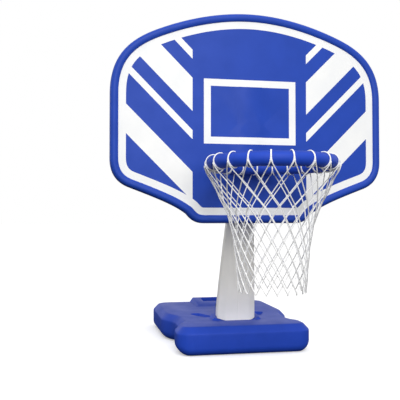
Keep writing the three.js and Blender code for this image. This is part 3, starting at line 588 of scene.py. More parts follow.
# Inset and height of each ring of a recess, from its floor up
RECESS_PROFILE = ((7, DECK - 9), (4.5, DECK - 8.2), (2.5, DECK - 5), (0, DECK), (0, DECK + OVERRUN))
for side in (-1, 1):
    recess = arc((0, RECESS_REACH), RECESS_RADIUS, 0, 180, 12)
    recess += arc((0, -RECESS_REACH), RECESS_RADIUS, 180, 360, 12)
    turn = Matrix.Rotation(-side * RECESS_TURN, 2)
    shift = Vector((side * RECESS_PLACE[0], RECESS_PLACE[1]))
    cut(tank, stacked([at_height([turn @ p + shift for p in inset(recess, inwards)], height)
                       for inwards, height in RECESS_PROFILE]))
print("tank with its hold and recesses:", len(tank.data.polygons), "faces")

# %% [markdown]
# A pad, a hole or a ring is a profile of radii and heights that is turned about an axis. It is made once
# about Z and copied to each of its places, turned and moved, which is simpler than turning it about each.

# %% Turned forms and copies
def lathe(profile, steps=48):
    """Turn a profile of radii and heights in millimetres about the Z axis into a closed form."""
    bm = bmesh.new()
    corners = [bm.verts.new(Vector((radius, 0, height)) * MM) for radius, height in profile]
    lines = [bm.edges.new(pair) for pair in zip(corners, corners[1:])]
    if profile[0][0] > 0:
        lines.append(bm.edges.new((corners[-1], corners[0])))
    bmesh.ops.spin(bm, geom=corners + lines, cent=(0, 0, 0), axis=(0, 0, 1), angle=2 * pi, steps=steps,
                   use_merge=True)
    bmesh.ops.remove_doubles(bm, verts=bm.verts, dist=1e-6)
    return bm


def pointing(place, direction):
    """The matrix that moves a piece made along +Z to a place in millimetres, pointing in a direction."""
    turn = Vector(direction).to_track_quat("Z", "Y").to_matrix().to_4x4()
    return Matrix.Translation(Vector(place) * MM) @ turn


def add_copies(bm, mesh, matrices):
    """Add a moved copy of a mesh for each matrix."""
    for matrix in matrices:
        already = set(bm.verts)
        bm.from_mesh(mesh)
        bmesh.ops.transform(bm, matrix=matrix, verts=[corner for corner in bm.verts if corner not in already])


def placed(mesh, matrices):
    """A bmesh of moved copies of a mesh."""
    bm = bmesh.new()
    add_copies(bm, mesh, matrices)
    return bm


def turned(profile, matrices):
    """A bmesh of moved copies of a turned form."""
    return placed(mesh_from(lathe(profile)), matrices)


# %% Drain, foot wells, socket and fill hole
BACKWARDS, FORWARDS, UPWARDS, DOWNWARDS = (0, 1, 0), (0, -1, 0), (0, 0, 1), (0, 0, -1)
DRAIN_BACK = FRONT_EDGE + BASE_DEPTH
DRAIN_HEIGHT = 36
PAD_RISE = 3
# Turned forms of the tank, as radii and heights
DRAIN_PAD = [(0, -ROOT), (17, -ROOT), (17, PAD_RISE - 1), (16, PAD_RISE), (0, PAD_RISE)]
DRAIN_HOLE = [(0, -OVERRUN), (8, -OVERRUN), (8, OVERRUN), (0, OVERRUN)]
drain_places = [pointing((0, DRAIN_BACK, DRAIN_HEIGHT), BACKWARDS)]
cut(tank, turned(DRAIN_PAD, drain_places), "UNION")
cut(tank, turned(DRAIN_HOLE, drain_places))

FOOT_BOLT_X = (-32, 32)
SOCKET_FLOOR = 44
SOCKET_PLAY = 0.6
FOOT_SEAT = 34
FOOT_WELL = [(0, -OVERRUN), (15, -OVERRUN), (15, FOOT_SEAT), (4.5, FOOT_SEAT), (4.5, 60), (0, 60)]
well_places = [pointing((x, FOOT_BACK, 0), UPWARDS) for x in FOOT_BOLT_X]
cut(tank, turned(FOOT_WELL, well_places))
socket = foot_section(SOCKET_PLAY)
cut(tank, stacked([at_height(socket, height) for height in (SOCKET_FLOOR, DECK + 2 * OVERRUN)]))

NECK_HOLE_RADIUS = 20
NECK_DEPTH = 30
hole = arc((0, NECK_BACK), NECK_HOLE_RADIUS, 0, 360, 40)[:-1]
cut(tank, stacked([at_height(hole, height) for height in (DECK - NECK_DEPTH, DECK + NECK_DEPTH)]))
soften(tank, 1.6 * MM, segments=3, angle=30)

# %% [markdown]
# ## Pole
# The pole is one hollow moulding, wide and octagonal at its foot, that leans towards the board, narrows, and
# stands upright behind it. One tapered box can't follow that line, so an octagon is laid at each of the
# frame's stations, with smooth steps between them, and the long edges are bevelled to a soft round. A fine
# parting line runs up its front.

# %% Stations of the pole
POLE_STATIONS = (
    # height, width, depth, middle Y
    (44.3, 131.5, 76, 12), (107, 131.5, 76, 12), (170.08, 126.5, 73.66, 1.29), (262.8, 115.96, 68.72, -17.75),
    (350.64, 104.53, 63.36, -36.79), (418.96, 94.7, 58.76, -53.45), (501.92, 84.49, 53.98, -78.44),
    (580, 76, 50, -107), (620, 76, 50, -107), (850, 76, 50, -107),
)


def neighbours(points, index):
    """The four points around a step of a curve, its ends repeated."""
    return [points[max(0, min(index + shift, len(points) - 1))] for shift in (-1, 0, 1, 2)]


def smooth_place(around, t):
    """A place on the smooth curve between the middle two of four points."""
    weights = (-t + 2 * t * t - t ** 3, 2 - 5 * t * t + 3 * t ** 3,
               t + 4 * t * t - 3 * t ** 3, t ** 3 - t * t)
    return [sum(w * point[k] for w, point in zip(weights, around)) / 2 for k in range(len(around[0]))]


def smooth_stations(stations, steps):
    """Fill in stations along a smooth curve through the given ones."""
    filled = []
    for index in range(len(stations) - 1):
        for step in range(steps):
            t = step / steps
            filled.append(smooth_place(neighbours(stations, index), t))
            filled[-1][0] = stations[index][0] + (stations[index + 1][0] - stations[index][0]) * t
    return filled + [list(stations[-1])]


column_stations = smooth_stations(POLE_STATIONS, 4)
print("stations of the pole:", len(column_stations))


# %% Pole's column
def round_edges(bm, edges, width, segments):
    """Bevel some edges of a bmesh to a round."""
    bmesh.ops.bevel(bm, geom=edges, offset=width, offset_type="OFFSET", segments=segments, profile=0.5,
                    affect="EDGES", material=-1, clamp_overlap=True)


# The parting line, as a low ridge in the middle of the front face, in shares of the half width and half depth
SEAM = ((-0.02, -1), (-0.008, -1.02), (0.008, -1.02), (0.02, -1))
EDGE_ROUND = 4.5
section_with_seam = [Vector(corner) for corner in POLE_SECTION[:1] + SEAM + POLE_SECTION[1:]]
pole_rings = []
for height, width, depth, middle in column_stations:
    ring = [Vector((x * width / 2, middle + y * depth / 2)) for x, y in section_with_seam]
    pole_rings.append(at_height(ring, height))
bm = stacked(pole_rings)
bmesh.ops.recalc_face_normals(bm, faces=bm.faces)
# The long edges, without those of the parting line
long_edges = [
    edge for edge in bm.edges
    if abs(edge.verts[0].co.z - edge.verts[1].co.z) > 1 * MM and edge.calc_face_angle(0) > radians(20)
    and abs(edge.verts[0].co.x) > 10 * MM
]
round_edges(bm, long_edges, EDGE_ROUND * MM, 4)
finish_piece("pole_column", bm, [POLE_GREY], ["pole"])

# %% [markdown]
# ## Backboard
# The board is a hollow moulding with a round bead along its edge. The flat face inside the bead lies a little
# deeper and carries the print: a white border, a shooter's square above the rim and plain slanting bands. The
# bands are cut into the face's mesh, so that their edges stay crisp at any distance.

# %% Outline of the board
BOARD_HALF = 441
BOARD_HEIGHT = 665
BOARD_BOTTOM = 423
BOARD_FACE = -200
BEAD = 25
BEAD_SIDE = 12
BEAD_DEPTH = 14
PANEL = 7
PANEL_FILLET = 0.6
BOARD_THICK = 44
BACK_ROUND = 13
BACK_DISH = 3


def board_point(across, up):
    """A point of the board's outline from its shares of half the width and of the height."""
    return across * BOARD_HALF, BOARD_BOTTOM + up * BOARD_HEIGHT


board_half = [Vector(board_point(0, 0))]
# Steps and corners of each Bezier stretch, from the middle of the lower edge up to the middle of the top
for steps, *corners in (
    (10, (0.336, 0), (0.4, 0), (0.43, 0.018), (0.465, 0.045)),
    (14, (0.465, 0.045), (0.54, 0.084), (0.68, 0.12), (0.873, 0.168)),
    (12, (0.873, 0.168), (0.964, 0.192), (1, 0.241), (1, 0.301)),
    (18, (1, 0.602), (1, 0.752), (0.896, 0.842), (0.68, 0.902)),
    (22, (0.68, 0.902), (0.488, 0.956), (0.249, 1), (0, 1)),
):
    for point in curve(*[board_point(*corner) for corner in corners], steps):
        if (point - board_half[-1]).length > 0.5:
            board_half.append(point)
board_outline = mirrored(board_half)
widths = [point.x for point in board_outline]
print("Outline of the board:", len(board_outline), "corners,", round(max(widths) - min(widths)), "mm wide")


def board_ring(inwards, behind):
    """The outline moved inwards and placed behind the bead's front, in metres."""
    return [Vector((p.x, BOARD_FACE + behind, p.y)) * MM for p in inset(board_outline, inwards)]


# The ring's insets and depths: the dished back, its round, the bead's outer and inner side, and the panel
profile = [(34, BOARD_THICK - BACK_DISH), (22, BOARD_THICK - BACK_DISH), (18, BOARD_THICK),
           (BACK_ROUND, BOARD_THICK)]
for turn in map(radians, (25, 50, 70, 90)):
    profile.append((BACK_ROUND - BACK_ROUND * sin(turn), BOARD_THICK - BACK_ROUND + BACK_ROUND * cos(turn)))
for turn in map(radians, range(0, 91, 10)):
    profile.append((BEAD_SIDE - BEAD_SIDE * cos(turn), BEAD_DEPTH - BEAD_DEPTH * sin(turn)))
for turn in map(radians, range(15, 91, 15)):
    profile.append((BEAD_SIDE + (BEAD - BEAD_SIDE) * sin(turn), PANEL * (1 - cos(turn))))
profile.append((BEAD + PANEL_FILLET, PANEL + PANEL_FILLET))
bm = bmesh.new()
board_front = stack(bm, [board_ring(inwards, behind) for inwards, behind in profile])

# %% [markdown]
# The pattern is cut with planes: one `bisect_plane` for each edge of a band. A face is then white when its
# middle lies inside a band. The same planes bound the shallow channel that shows where the pole's socket
# comes close behind the face.

# %% Print on the face
BORDER = 23
SQUARE = (-150, 150, 672, 876)
SQUARE_LINE = 22
BAND_START = 186
BAND_ORIGIN = 640
BANDS = ((-98, -78), (-36, 38), (80, 100), (172, 236))
CHANNEL = (-36, 36, 604, 868)
CHANNEL_EDGE = 5
CHANNEL_RISE = 2

border_ring = bmesh.ops.inset_region(
    bm, faces=[board_front], thickness=BORDER * MM, use_even_offset=True)["faces"]
for face in border_ring:
    face.material_index = 1


def front_faces():
    """Faces of the printed panel inside its border."""
    return [face for face in bm.faces if face.normal.y < -0.9 and face not in kept_out
            and abs(face.calc_center_median().y - (BOARD_FACE + PANEL + PANEL_FILLET) * MM) < 1 * MM]


def slice_panel(place, normal):
    """Cut the panel along one plane."""
    faces = front_faces()
    edges = dict.fromkeys(edge for face in faces for edge in face.edges)
    corners = dict.fromkeys(corner for face in faces for corner in face.verts)
    bmesh.ops.bisect_plane(bm, geom=[*faces, *edges, *corners], plane_co=place, plane_no=normal, dist=1e-6)


bmesh.ops.recalc_face_normals(bm, faces=bm.faces)
kept_out = set(border_ring)
left, right, low, high = SQUARE
for x in (left, left + SQUARE_LINE, right - SQUARE_LINE, right, -BAND_START, BAND_START,
          CHANNEL[0] - CHANNEL_EDGE, CHANNEL[0], CHANNEL[1], CHANNEL[1] + CHANNEL_EDGE):
    slice_panel(Vector((x, 0, 0)) * MM, (1, 0, 0))
for z in (low, low + SQUARE_LINE, high - SQUARE_LINE, high, CHANNEL[2] - CHANNEL_EDGE, CHANNEL[2],
          CHANNEL[3], CHANNEL[3] + CHANNEL_EDGE):
    slice_panel(Vector((0, 0, z)) * MM, (0, 0, 1))
for side in (-1, 1):
    for edge_place in (value for band in BANDS for value in band):
        across = Vector((side, 0, -1)).normalized()
        slice_panel(Vector((0, 0, BAND_ORIGIN)) * MM + across * (edge_place * MM), across)


# %% White bands
def is_white(x, z):
    """Whether a place on the panel, in millimetres, is printed white."""
    in_square = left < x < right and low < z < high
    in_opening = (left + SQUARE_LINE < x < right - SQUARE_LINE
                  and low + SQUARE_LINE < z < high - SQUARE_LINE)
    slant = (abs(x) - (z - BAND_ORIGIN)) / 2 ** 0.5
    in_band = abs(x) > BAND_START and any(start < slant < end for start, end in BANDS)
    return (in_square and not in_opening) or in_band


# %% Print and channel
def ramp(value, low_end, high_end):
    """0 outside a range, 1 inside it, with a slope of one channel edge at both ends."""
    inside = min(value - (low_end - CHANNEL_EDGE), (high_end + CHANNEL_EDGE) - value)
    return max(0, min(1, inside / CHANNEL_EDGE))


panel_faces = front_faces()
for face in panel_faces:
    middle = face.calc_center_median() / MM
    face.material_index = 1 if is_white(middle.x, middle.z) else 0
for corner in {corner for face in panel_faces for corner in face.verts}:
    raised = ramp(corner.co.x / MM, CHANNEL[0], CHANNEL[1]) * ramp(corner.co.z / MM, CHANNEL[2], CHANNEL[3])
    corner.co.y -= raised * CHANNEL_RISE * MM
finish_piece("board_shell", bm, [BOARD_BLUE, PRINT_WHITE], ["backboard"], 28)

# %% [markdown]
# ## Socket on the back of the board
# Behind the board a boss and two side rails form a channel that the pole stands in, closed by a bridge at
# the top. The boss is one box, the rails and the bridge are three more joined to it, and the edges are soft.
# It faces away from the players, so plain boxes are enough.

# %% Socket
BOSS_HALF = 52
BOSS_BACK = BOARD_FACE + BOARD_THICK + 24
RAIL_BACK = BOSS_BACK + 38
RAIL_INNER = 38.3
# How far each form reaches into the one in front of it, and the bridge's height
JOIN = 4
BRIDGE_HEIGHT = 14
BOSS_BOTTOM = 480
RAIL_BOTTOM = 588
SOCKET_TOP = 871


def slab(bm, low_corner, high_corner):
    """A closed box between two corners in millimetres."""
    made = bmesh.ops.create_cube(bm, size=1)["verts"]
    low_corner, high_corner = Vector(low_corner) * MM, Vector(high_corner) * MM
    bmesh.ops.scale(bm, vec=high_corner - low_corner, verts=made)
    bmesh.ops.translate(bm, vec=(low_corner + high_corner) / 2, verts=made)


bm = bmesh.new()
slab(bm, (-BOSS_HALF, BOARD_FACE + BOARD_THICK - JOIN, BOSS_BOTTOM), (BOSS_HALF, BOSS_BACK, SOCKET_TOP))
board_socket = finish_piece("board_socket", bm, [TANK_BLUE], ["backboard"])
for corners in (
    ((-BOSS_HALF, BOSS_BACK - JOIN, RAIL_BOTTOM), (-RAIL_INNER, RAIL_BACK, SOCKET_TOP)),
    ((RAIL_INNER, BOSS_BACK - JOIN, RAIL_BOTTOM), (BOSS_HALF, RAIL_BACK, SOCKET_TOP)),
    ((-BOSS_HALF, BOSS_BACK - JOIN, SOCKET_TOP - BRIDGE_HEIGHT), (BOSS_HALF, RAIL_BACK, SOCKET_TOP)),
):
    bm = bmesh.new()
    slab(bm, *corners)
    cut(board_socket, bm, "UNION")
soften(board_socket, 3 * MM, segments=3)

# %% [markdown]
# ## Rim
# The ring is a tube bent round and closed: a circle spun round the rim's upright axis. A ready-made torus
# would look the same, but a spin takes any section and ends where it began. Two arms carry the ring on a
# plate that is bolted to the board's face.

# %% Rim
RIM_MIDDLE = Vector((0, -416, 593)) * MM
RIM_RADIUS = 167.5 * MM
TUBE_RADIUS = 20 * MM
PLATE_HALF = (76, 35)
PLATE_MIDDLE = 616
# The gap between two pieces that touch in reality
SEAT = 0.3
PLATE_BACK = BOARD_FACE + PANEL - SEAT
PLATE_THICK = 10
PLATE_CORNER = 12
ARM_MIDDLE = 26
ARM_HALF = 8
# Corners of an arm seen from the side: Y and height
ARM_WEB = ((-252, 583), (-202.5, 581.5), (-202.5, 639), (-252, 603))

bm = bmesh.new()
tube = bmesh.ops.create_circle(bm, segments=32, radius=TUBE_RADIUS)["verts"]
bmesh.ops.rotate(bm, verts=tube, cent=(0, 0, 0), matrix=Matrix.Rotation(pi / 2, 3, "X"))
bmesh.ops.translate(bm, verts=tube, vec=RIM_MIDDLE + Vector((RIM_RADIUS, 0, 0)))
bmesh.ops.spin(bm, geom=bm.edges[:] + tube, cent=RIM_MIDDLE, axis=(0, 0, 1), angle=2 * pi, steps=120,
               use_merge=True)
finish_piece("rim_ring", bm, [TANK_BLUE], ["rim"], 60)

half_x, half_z = PLATE_HALF
plate = []
for x, z, start in ((1, -1, -90), (1, 1, 0), (-1, 1, 90), (-1, -1, 180)):
    plate += arc((x * (half_x - PLATE_CORNER), PLATE_MIDDLE + z * (half_z - PLATE_CORNER)), PLATE_CORNER,
                 start, start + 90, 6)
plate_profile = ((0, 0), (0, -PLATE_THICK + 2), (0.6, -PLATE_THICK + 0.6), (2, -PLATE_THICK))
plate_rings = [[Vector((p.x, PLATE_BACK + behind, p.y)) * MM for p in inset(plate, inwards)]
               for inwards, behind in plate_profile]
mount = finish_piece("rim_mount", stacked(plate_rings), [TANK_BLUE], ["rim"])
for side in (-1, 1):
    arm_sides = side * ARM_MIDDLE - ARM_HALF, side * ARM_MIDDLE + ARM_HALF
    cut(mount, stacked([[Vector((x, *corner)) * MM for corner in ARM_WEB] for x in arm_sides]), "UNION")
soften(mount, 1.5 * MM, segments=3)

# %% [markdown]
# ## Bolts, washers and nuts
# The rim is bolted through the board, the board is locked to the pole, and the pole to the base, all with
# 8 mm hexagon bolts. A real hexagon head has its corners turned off by a cone, so a hexagonal prism is
# intersected with a turned form once, and that mesh is copied to every bolt. The thread is a row of fine
# ridges, because a true helix wouldn't show at this size.

# %% Patterns of the fixings
ACROSS = 13
CORNER = ACROSS / 2 / cos(pi / 6)
HEAD_HEIGHT = 5.3
NUT_HEIGHT = 8
BOLT_RADIUS = 4
THREAD_PITCH = 1.25
WASHER_THICK = 1.6
INSERT_LENGTH = 16


def hexagon(height, turned_profile):
    """A hexagonal prism that is intersected with a turned form, as a mesh to copy."""
    outline = arc((0, 0), CORNER, 0, 360, 6)[:-1]
    bm = stacked([at_height(outline, 0), at_height(outline, height)])
    bmesh.ops.recalc_face_normals(bm, faces=bm.faces)
    prism = object_from(bm, "prism")
    cut(prism, lathe(turned_profile), "INTERSECT")
    mesh = prism.data
    bpy.data.objects.remove(prism)
    return mesh


def shank(length, thread):
    """A bolt's shank from below its head down, with a threaded end."""
    profile = [(0, 1), (BOLT_RADIUS, 1), (BOLT_RADIUS, thread - length)]
    height = thread - length
    while height > 1.2 * THREAD_PITCH - length:
        profile += [(BOLT_RADIUS - 0.6, height - THREAD_PITCH / 2), (BOLT_RADIUS, height - THREAD_PITCH)]
        height -= THREAD_PITCH
    profile += [(BOLT_RADIUS - 0.9, -length), (0, -length)]
    return mesh_from(lathe(profile, 24))


head_pattern = hexagon(HEAD_HEIGHT, [(0, 0), (9, 0), (9, 3.6), (6.1, HEAD_HEIGHT), (4.6, HEAD_HEIGHT),
                                     (4.2, HEAD_HEIGHT - 0.3), (0, HEAD_HEIGHT - 0.3)])
nut_pattern = hexagon(NUT_HEIGHT, [(4.05, 0.5), (4.6, 0), (6.1, 0), (9, 1.7), (9, 4.3), (6.4, 5.8),
                                   (5.9, 6.2), (5.9, 7.4), (5.3, NUT_HEIGHT), (4.4, NUT_HEIGHT), (4.05, 7.6)])
washer_pattern = mesh_from(lathe([(4.5, 0.2), (4.7, 0), (8.7, 0), (9, 0.3), (9, 1.3), (8.7, WASHER_THICK),
                                  (4.7, WASHER_THICK), (4.5, 1.4)]))
for pattern in (head_pattern, nut_pattern, washer_pattern):
    print("pattern:", len(pattern.polygons), "faces")


def fixing(name, pattern, places, direction, *more):
    """Zinc-plated copies at named places: the piece rim_nuts stands for rim_nut_ and each name."""
    matrices = [pointing(place, direction) for place in places.values()]
    bm = placed(pattern, matrices)
    for mesh in more:
        add_copies(bm, mesh, matrices)
    finish_piece(name, bm, [ZINC_STEEL], [f"{name[:-1]}_{where}" for where in places])


# %% Fixings in their places
FLANGE_FRONT = PLATE_BACK - PLATE_THICK
BOARD_BACK = BOARD_FACE + BOARD_THICK
# How far a rim bolt reaches beyond its nut
BOLT_TAIL = 3
RIM_HEIGHTS = {"lower": 596, "upper": 636}
RIM_SIDES = {"left": -62, "right": 62}
LOCK_HEIGHTS = {"lower": 650.2, "upper": 769}
POLE_TOP_DEPTH = 50
RIM_THREAD = 26
INSERT_THREAD = 20


def corners_at(y):
    """The places of the rim's four fixings at one depth."""
    return {f"{level}_{side}": (x, y, z) for level, z in RIM_HEIGHTS.items() for side, x in RIM_SIDES.items()}


def locks_at(y):
    """The places of the board's two fixings at one depth."""
    return {level: (0, y, z) for level, z in LOCK_HEIGHTS.items()}


def feet_at(z):
    """The places of the foot's two fixings at one height."""
    return {side: (x, FOOT_BACK, z) for side, x in zip(("left", "right"), FOOT_BOLT_X)}


front_washer = FLANGE_FRONT - SEAT
head_under = front_washer - WASHER_THICK - SEAT
back_washer = BOARD_BACK + SEAT
nut_seat = back_washer + WASHER_THICK + SEAT
rim_shank = shank(nut_seat + NUT_HEIGHT + BOLT_TAIL - head_under, RIM_THREAD)
fixing("rim_bolts", head_pattern, corners_at(head_under), FORWARDS, rim_shank)
fixing("rim_front_washers", washer_pattern, corners_at(front_washer), FORWARDS)
fixing("rim_back_washers", washer_pattern, corners_at(back_washer), BACKWARDS)
fixing("rim_nuts", nut_pattern, corners_at(nut_seat), BACKWARDS)

lock_washer = BOSS_BACK + SEAT + POLE_TOP_DEPTH + SEAT
lock_under = lock_washer + WASHER_THICK + SEAT
lock_shank = shank(lock_under - (BOSS_BACK - INSERT_LENGTH), INSERT_THREAD)
fixing("lock_bolts", head_pattern, locks_at(lock_under), BACKWARDS, lock_shank)
fixing("lock_washers", washer_pattern, locks_at(lock_washer), BACKWARDS)

foot_washer = FOOT_SEAT - SEAT
foot_under = foot_washer - WASHER_THICK - SEAT
foot_shank = shank(SOCKET_FLOOR + SEAT + INSERT_LENGTH - foot_under, INSERT_THREAD)
fixing("foot_bolts", head_pattern, feet_at(foot_under), DOWNWARDS, foot_shank)
fixing("foot_washers", washer_pattern, feet_at(foot_washer), DOWNWARDS)

# %% [markdown]
# ## Caps
# A black screw cap with twelve grip lobes closes the fill neck, over a rubber ring. It is a stack of lobed
# outlines with a dished top and a bar across it, which is cleaner than twelve hollows cut from a turned cap.
# The drain plug is a turned flange with a slot for a coin, and the pole's plug is the pole's own outline with
# soft edges.

# %% Fill cap and its ring
RING_BOTTOM = NECK_TOP + SEAT
RING_THICK = 2.5
CAP_BOTTOM = RING_BOTTOM + RING_THICK + SEAT
CAP_TOP = CAP_BOTTOM + 13
GRIP_LOBES = 12
LOBE_STEPS = 192
# Middle and swing of the wave that is clipped to lobes and hollows, and how far it is turned
LOBE_WAVE = (0.5, 1.4)
LOBE_TURN = pi / 24
# Half the length and half the width of the bar across the dish
BAR_HALF = (19, 3)


def lobed(radius, depth, height):
    """An outline with grip lobes at a height, in metres."""
    turns = [2 * pi * step / LOBE_STEPS for step in range(LOBE_STEPS)]
    middle, swing = LOBE_WAVE
    dips = [min(1, max(0, middle - swing * cos(GRIP_LOBES * (turn - LOBE_TURN)))) for turn in turns]
    reaches = [radius - depth * dip for dip in dips]
    return [Vector((reach * cos(turn), NECK_BACK + reach * sin(turn), height)) * MM
            for reach, turn in zip(reaches, turns)]


# Radius, depth of the lobes and height of each ring, from the plug's end up and over the dished top
CAP_PROFILE = (
    (17.7, 0, CAP_BOTTOM - 20), (19.3, 0, CAP_BOTTOM - 18.5), (19.6, 0, CAP_BOTTOM), (28.4, 1.2, CAP_BOTTOM),
    (29, 1.6, CAP_BOTTOM + 0.8), (29, 1.6, CAP_TOP - 2.6), (28.4, 1.5, CAP_TOP - 1), (27, 1.1, CAP_TOP - 0.2),
    (25.4, 0.6, CAP_TOP), (22.6, 0, CAP_TOP), (21.4, 0, CAP_TOP - 0.5), (20.6, 0, CAP_TOP - 1.8),
    (19.6, 0, CAP_TOP - 2.3), (2, 0, CAP_TOP - 2.6),
)
bm = stacked([lobed(*row) for row in CAP_PROFILE])
cap = finish_piece("fill_cap_grip", bm, [CAP_BLACK], ["fill_cap"], body="fill_cap")
half_x, half_y = BAR_HALF
bm = bmesh.new()
slab(bm, (-half_x, NECK_BACK - half_y, CAP_TOP - 4), (half_x, NECK_BACK + half_y, CAP_TOP - 0.8))
round_edges(bm, bm.edges[:], 0.8 * MM, 3)
cut(cap, bm, "UNION")
soften(cap, 0.3 * MM, segments=2, angle=34)

FILL_RING = [(20.5, 0.5), (21, 0), (27, 0), (27.7, 0.7), (27.7, 1.8), (27, RING_THICK),
             (21, RING_THICK), (20.5, 2)]
ring = turned(FILL_RING, [pointing((0, NECK_BACK, RING_BOTTOM), UPWARDS)])
finish_piece("fill_ring", ring, [RUBBER], ["fill_seal"], body="fill_seal")

# %% Drain plug and its ring
DRAIN_RING_BACK = DRAIN_BACK + PAD_RISE + SEAT
DRAIN_RING_THICK = 2
PLUG_FRONT = DRAIN_RING_BACK + DRAIN_RING_THICK + SEAT
plug_profile = [(0, -16), (6.7, -16), (7.7, -15)]
plug_profile += [(7.7 if step % 2 else 6.9, -14 + step * 0.9) for step in range(14)]
plug_profile += [(7.7, 0), (13.4, 0), (14, 0.6), (14, 4.6), (13.6, 5.5), (12.6, 6), (0, 6)]
plug_form = turned(plug_profile, [pointing((0, PLUG_FRONT, DRAIN_HEIGHT), BACKWARDS)])
plug = finish_piece("drain_plug_head", plug_form, [CAP_BLACK], ["drain_plug"],
                    body="drain_plug")
# The slot for a coin
bm = bmesh.new()
slab(bm, (-11, PLUG_FRONT + 3.5, DRAIN_HEIGHT - 1.5), (11, PLUG_FRONT + 9, DRAIN_HEIGHT + 1.5))
cut(plug, bm)
soften(plug, 0.25 * MM, segments=2, angle=50)

DRAIN_RING = [(8.4, 0.5), (8.9, 0), (13.4, 0), (14, 0.6), (14, 1.4), (13.4, DRAIN_RING_THICK),
              (8.9, DRAIN_RING_THICK), (8.4, 1.5)]
ring = turned(DRAIN_RING, [pointing((0, DRAIN_RING_BACK, DRAIN_HEIGHT), BACKWARDS)])
finish_piece("drain_ring", ring, [RUBBER], ["drain_seal"], body="drain_seal")

# %% Plug in the top of the pole
top_station = POLE_STATIONS[-1]


def top_section(inwards):
    """Outline of the pole's top, moved inwards."""
    height, width, depth, middle = top_station
    return inset([Vector((x * width / 2, middle + y * depth / 2)) for x, y in POLE_SECTION], inwards)


# Inset and height above the pole's end of each ring of the plug's head
PLUG_PROFILE = ((0.3, 0.3), (0, 0.6), (0, 2.3), (0.3, 2.9), (0.9, 3.2), (1.6, 3.3), (7, 3.3), (7.6, 3.1),
                (8.2, 2.5), (9, 2.3))
bm = stacked([at_height(top_section(inwards), top_station[0] + rise) for inwards, rise in PLUG_PROFILE])
finish_piece("pole_plug", bm, [CAP_BLACK], ["pole_top_plug"], 50)

# %% [markdown]
# ## Net
# The net is laced from twisted polyester cord. Each of its twenty loops goes over the rim's tube, and its two
# legs part below it: one runs down to the left and one to the right, crossing all the others, to the tips.
# A curve with a round section would be quicker, but it loses the lay of the strands. So one cord is extruded
# along its path as a three-strand rope, turned a little at every step, and then copied round the rim by a
# spin that duplicates.

# %% Paths of the cords
LOOPS = 20
CORD_RADIUS = 1.75
CORD_STEPS = 14
LAY_LENGTH = 12
# How far a rope's furrows and strands reach, as shares of its radius
ROPE_REACH = (0.93, 1.08)
# How far the two legs lean apart where they leave the loop, as a share of the first knot's turn, and the
# radius and drop from the first row to the point that the curve comes from
LEG_PARTING = -0.6
LEG_SOURCE = (2, -60)
# The legs of one hand lie outside those of the other by this share of their radius, from this drop on
HAND_OFFSET = 0.9
OFFSET_DROP = 40
NET_ROWS = (
    # height below the rim's middle, radius
    (7.2, 190.4), (53.7, 166.4), (90.6, 148.5), (120.6, 133.5), (153.9, 120.3), (186.2, 111.8),
    (217.7, 106.2), (247.7, 102.4), (276.7, 99.6), (304.3, 97.3), (332.2, 94.9), (358, 93),
)


def cord_path(hand):
    """Points of one cord from its loop to its tip, as the angle, radius and drop of a smooth curve."""
    places = [(hand * row / 2 * 2 * pi / LOOPS, radius, drop) for row, (drop, radius) in enumerate(NET_ROWS)]
    points = []
    for index in range(len(places) - 1):
        around = neighbours(places, index)
        if index == 0:
            _, radius, drop = around[1]
            around[0] = (LEG_PARTING * around[2][0], radius + LEG_SOURCE[0], drop + LEG_SOURCE[1])
        points += [smooth_place(around, step / CORD_STEPS) for step in range(CORD_STEPS)]
    return points + [list(places[-1])]


def on_rim(angle, radius, drop):
    """A place on the net from its angle from the front, its radius and its drop, in metres."""
    return RIM_MIDDLE + Vector((radius * sin(angle), -radius * cos(angle), -drop)) * MM


def rope(path, radius, lay, closed=False):
    """Sweep a twisted three-strand section along a path in metres."""
    total = 0.0
    side = None
    for index, point in enumerate(path):
        after = path[(index + 1) % len(path)] if closed else path[min(index + 1, len(path) - 1)]
        before = path[index - 1] if closed or index else path[0]
        along = (after - before).normalized()
        side = along.orthogonal() if side is None else side - along * side.dot(along)
        side.normalize()
        total += (point - before).length if index else 0
        frame_matrix = Matrix((side, along.cross(side), along)).transposed()
        twist = total / lay * 2 * pi
        ring = [point + frame_matrix @ Vector((reach * cos(turn + twist), reach * sin(turn + twist), 0))
                for turn, reach in ((k * pi / 3, radius * ROPE_REACH[k % 2]) for k in range(6))]
        yield ring


def spread_round(bm):
    """Copy what is there round the rim, once for each further loop."""
    bmesh.ops.spin(bm, geom=bm.verts[:] + bm.edges[:] + bm.faces[:], cent=RIM_MIDDLE, axis=(0, 0, 1),
                   angle=2 * pi * (LOOPS - 1) / LOOPS, steps=LOOPS - 1, use_duplicate=True)


# %% Cords
bm = bmesh.new()
for hand in (-1, 1):
    offset = CORD_RADIUS * HAND_OFFSET * hand
    path = [on_rim(angle, radius + offset * min(1, (drop - NET_ROWS[0][0]) / OFFSET_DROP), drop)
            for angle, radius, drop in cord_path(hand)]
    leg = sum((after - before).length for before, after in zip(path, path[1:]))
    print("leg of a cord:", round(leg / MM), "mm")
    stack(bm, list(rope(path, CORD_RADIUS * MM, LAY_LENGTH * MM)))
spread_round(bm)
finish_piece("net_cords", bm, [NET_CORD], ["net"], 80)

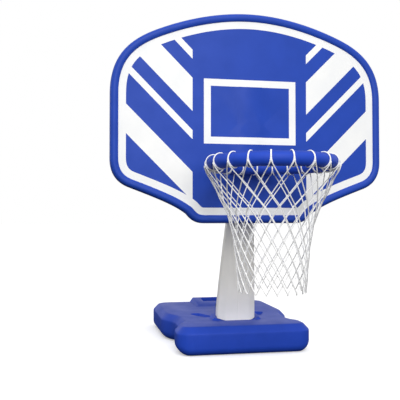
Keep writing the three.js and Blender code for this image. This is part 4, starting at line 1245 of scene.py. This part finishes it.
# %% [markdown]
# The loops are closed rings of the same cord, laid double over the tube and drawn tight. Below its front they
# part with the two legs. A knot ties each crossing. It is a few wraps of cord in reality, and a small egg
# reads the same at this size.

# %% Loops and knots
STRAND_RADIUS = 1.5
STRAND_GAP = 0.2
LOOP_RADIUS = TUBE_RADIUS / MM + STRAND_RADIUS + STRAND_GAP
LOOP_STEPS = 40
LOOP_TWISTS = 8
STRAND_SHIFT = 0.7
STRAND_SPREAD = 5
SPREAD_TURN = radians(285)
# Half widths and half height of a knot
KNOT_SIZE = (2.1, 2.1, 2.9)
bm = bmesh.new()
for hand in (-1, 1):
    ring_path = []
    for step in range(LOOP_STEPS):
        turn = step / LOOP_STEPS * 2 * pi
        across = hand * (STRAND_SHIFT + STRAND_SPREAD * max(0, cos(turn - SPREAD_TURN)) ** 2)
        around_tube = Vector((across, -LOOP_RADIUS * cos(turn), LOOP_RADIUS * sin(turn))) * MM
        ring_path.append(RIM_MIDDLE - Vector((0, RIM_RADIUS, 0)) + around_tube)
    rings = rope(ring_path, STRAND_RADIUS * MM, 2 * pi * LOOP_RADIUS / LOOP_TWISTS * MM, closed=True)
    ring_corners = [[bm.verts.new(point) for point in ring] for ring in rings]
    ring_edges = [[bm.edges.new((ring[k - 1], ring[k])) for k in range(6)] for ring in ring_corners]
    for index, edges in enumerate(ring_edges):
        bmesh.ops.bridge_loops(bm, edges=ring_edges[index - 1] + edges)
for row, (drop, radius) in enumerate(NET_ROWS):
    angle = row % 2 * pi / LOOPS
    knot = bmesh.ops.create_uvsphere(bm, u_segments=10, v_segments=6, radius=1)["verts"]
    bmesh.ops.scale(bm, verts=knot, vec=Vector(KNOT_SIZE) * MM)
    bmesh.ops.rotate(bm, verts=knot, cent=(0, 0, 0), matrix=Matrix.Rotation(angle, 3, "Z"))
    bmesh.ops.translate(bm, verts=knot, vec=on_rim(angle, radius, drop))
spread_round(bm)
finish_piece("net_loops", bm, [NET_CORD], ["net"], 80)

# %% [markdown]
# ## Finish
# The view transform is Standard, so that a colour renders as it is written.

# %% Finish
scene.view_settings.view_transform = "Standard"
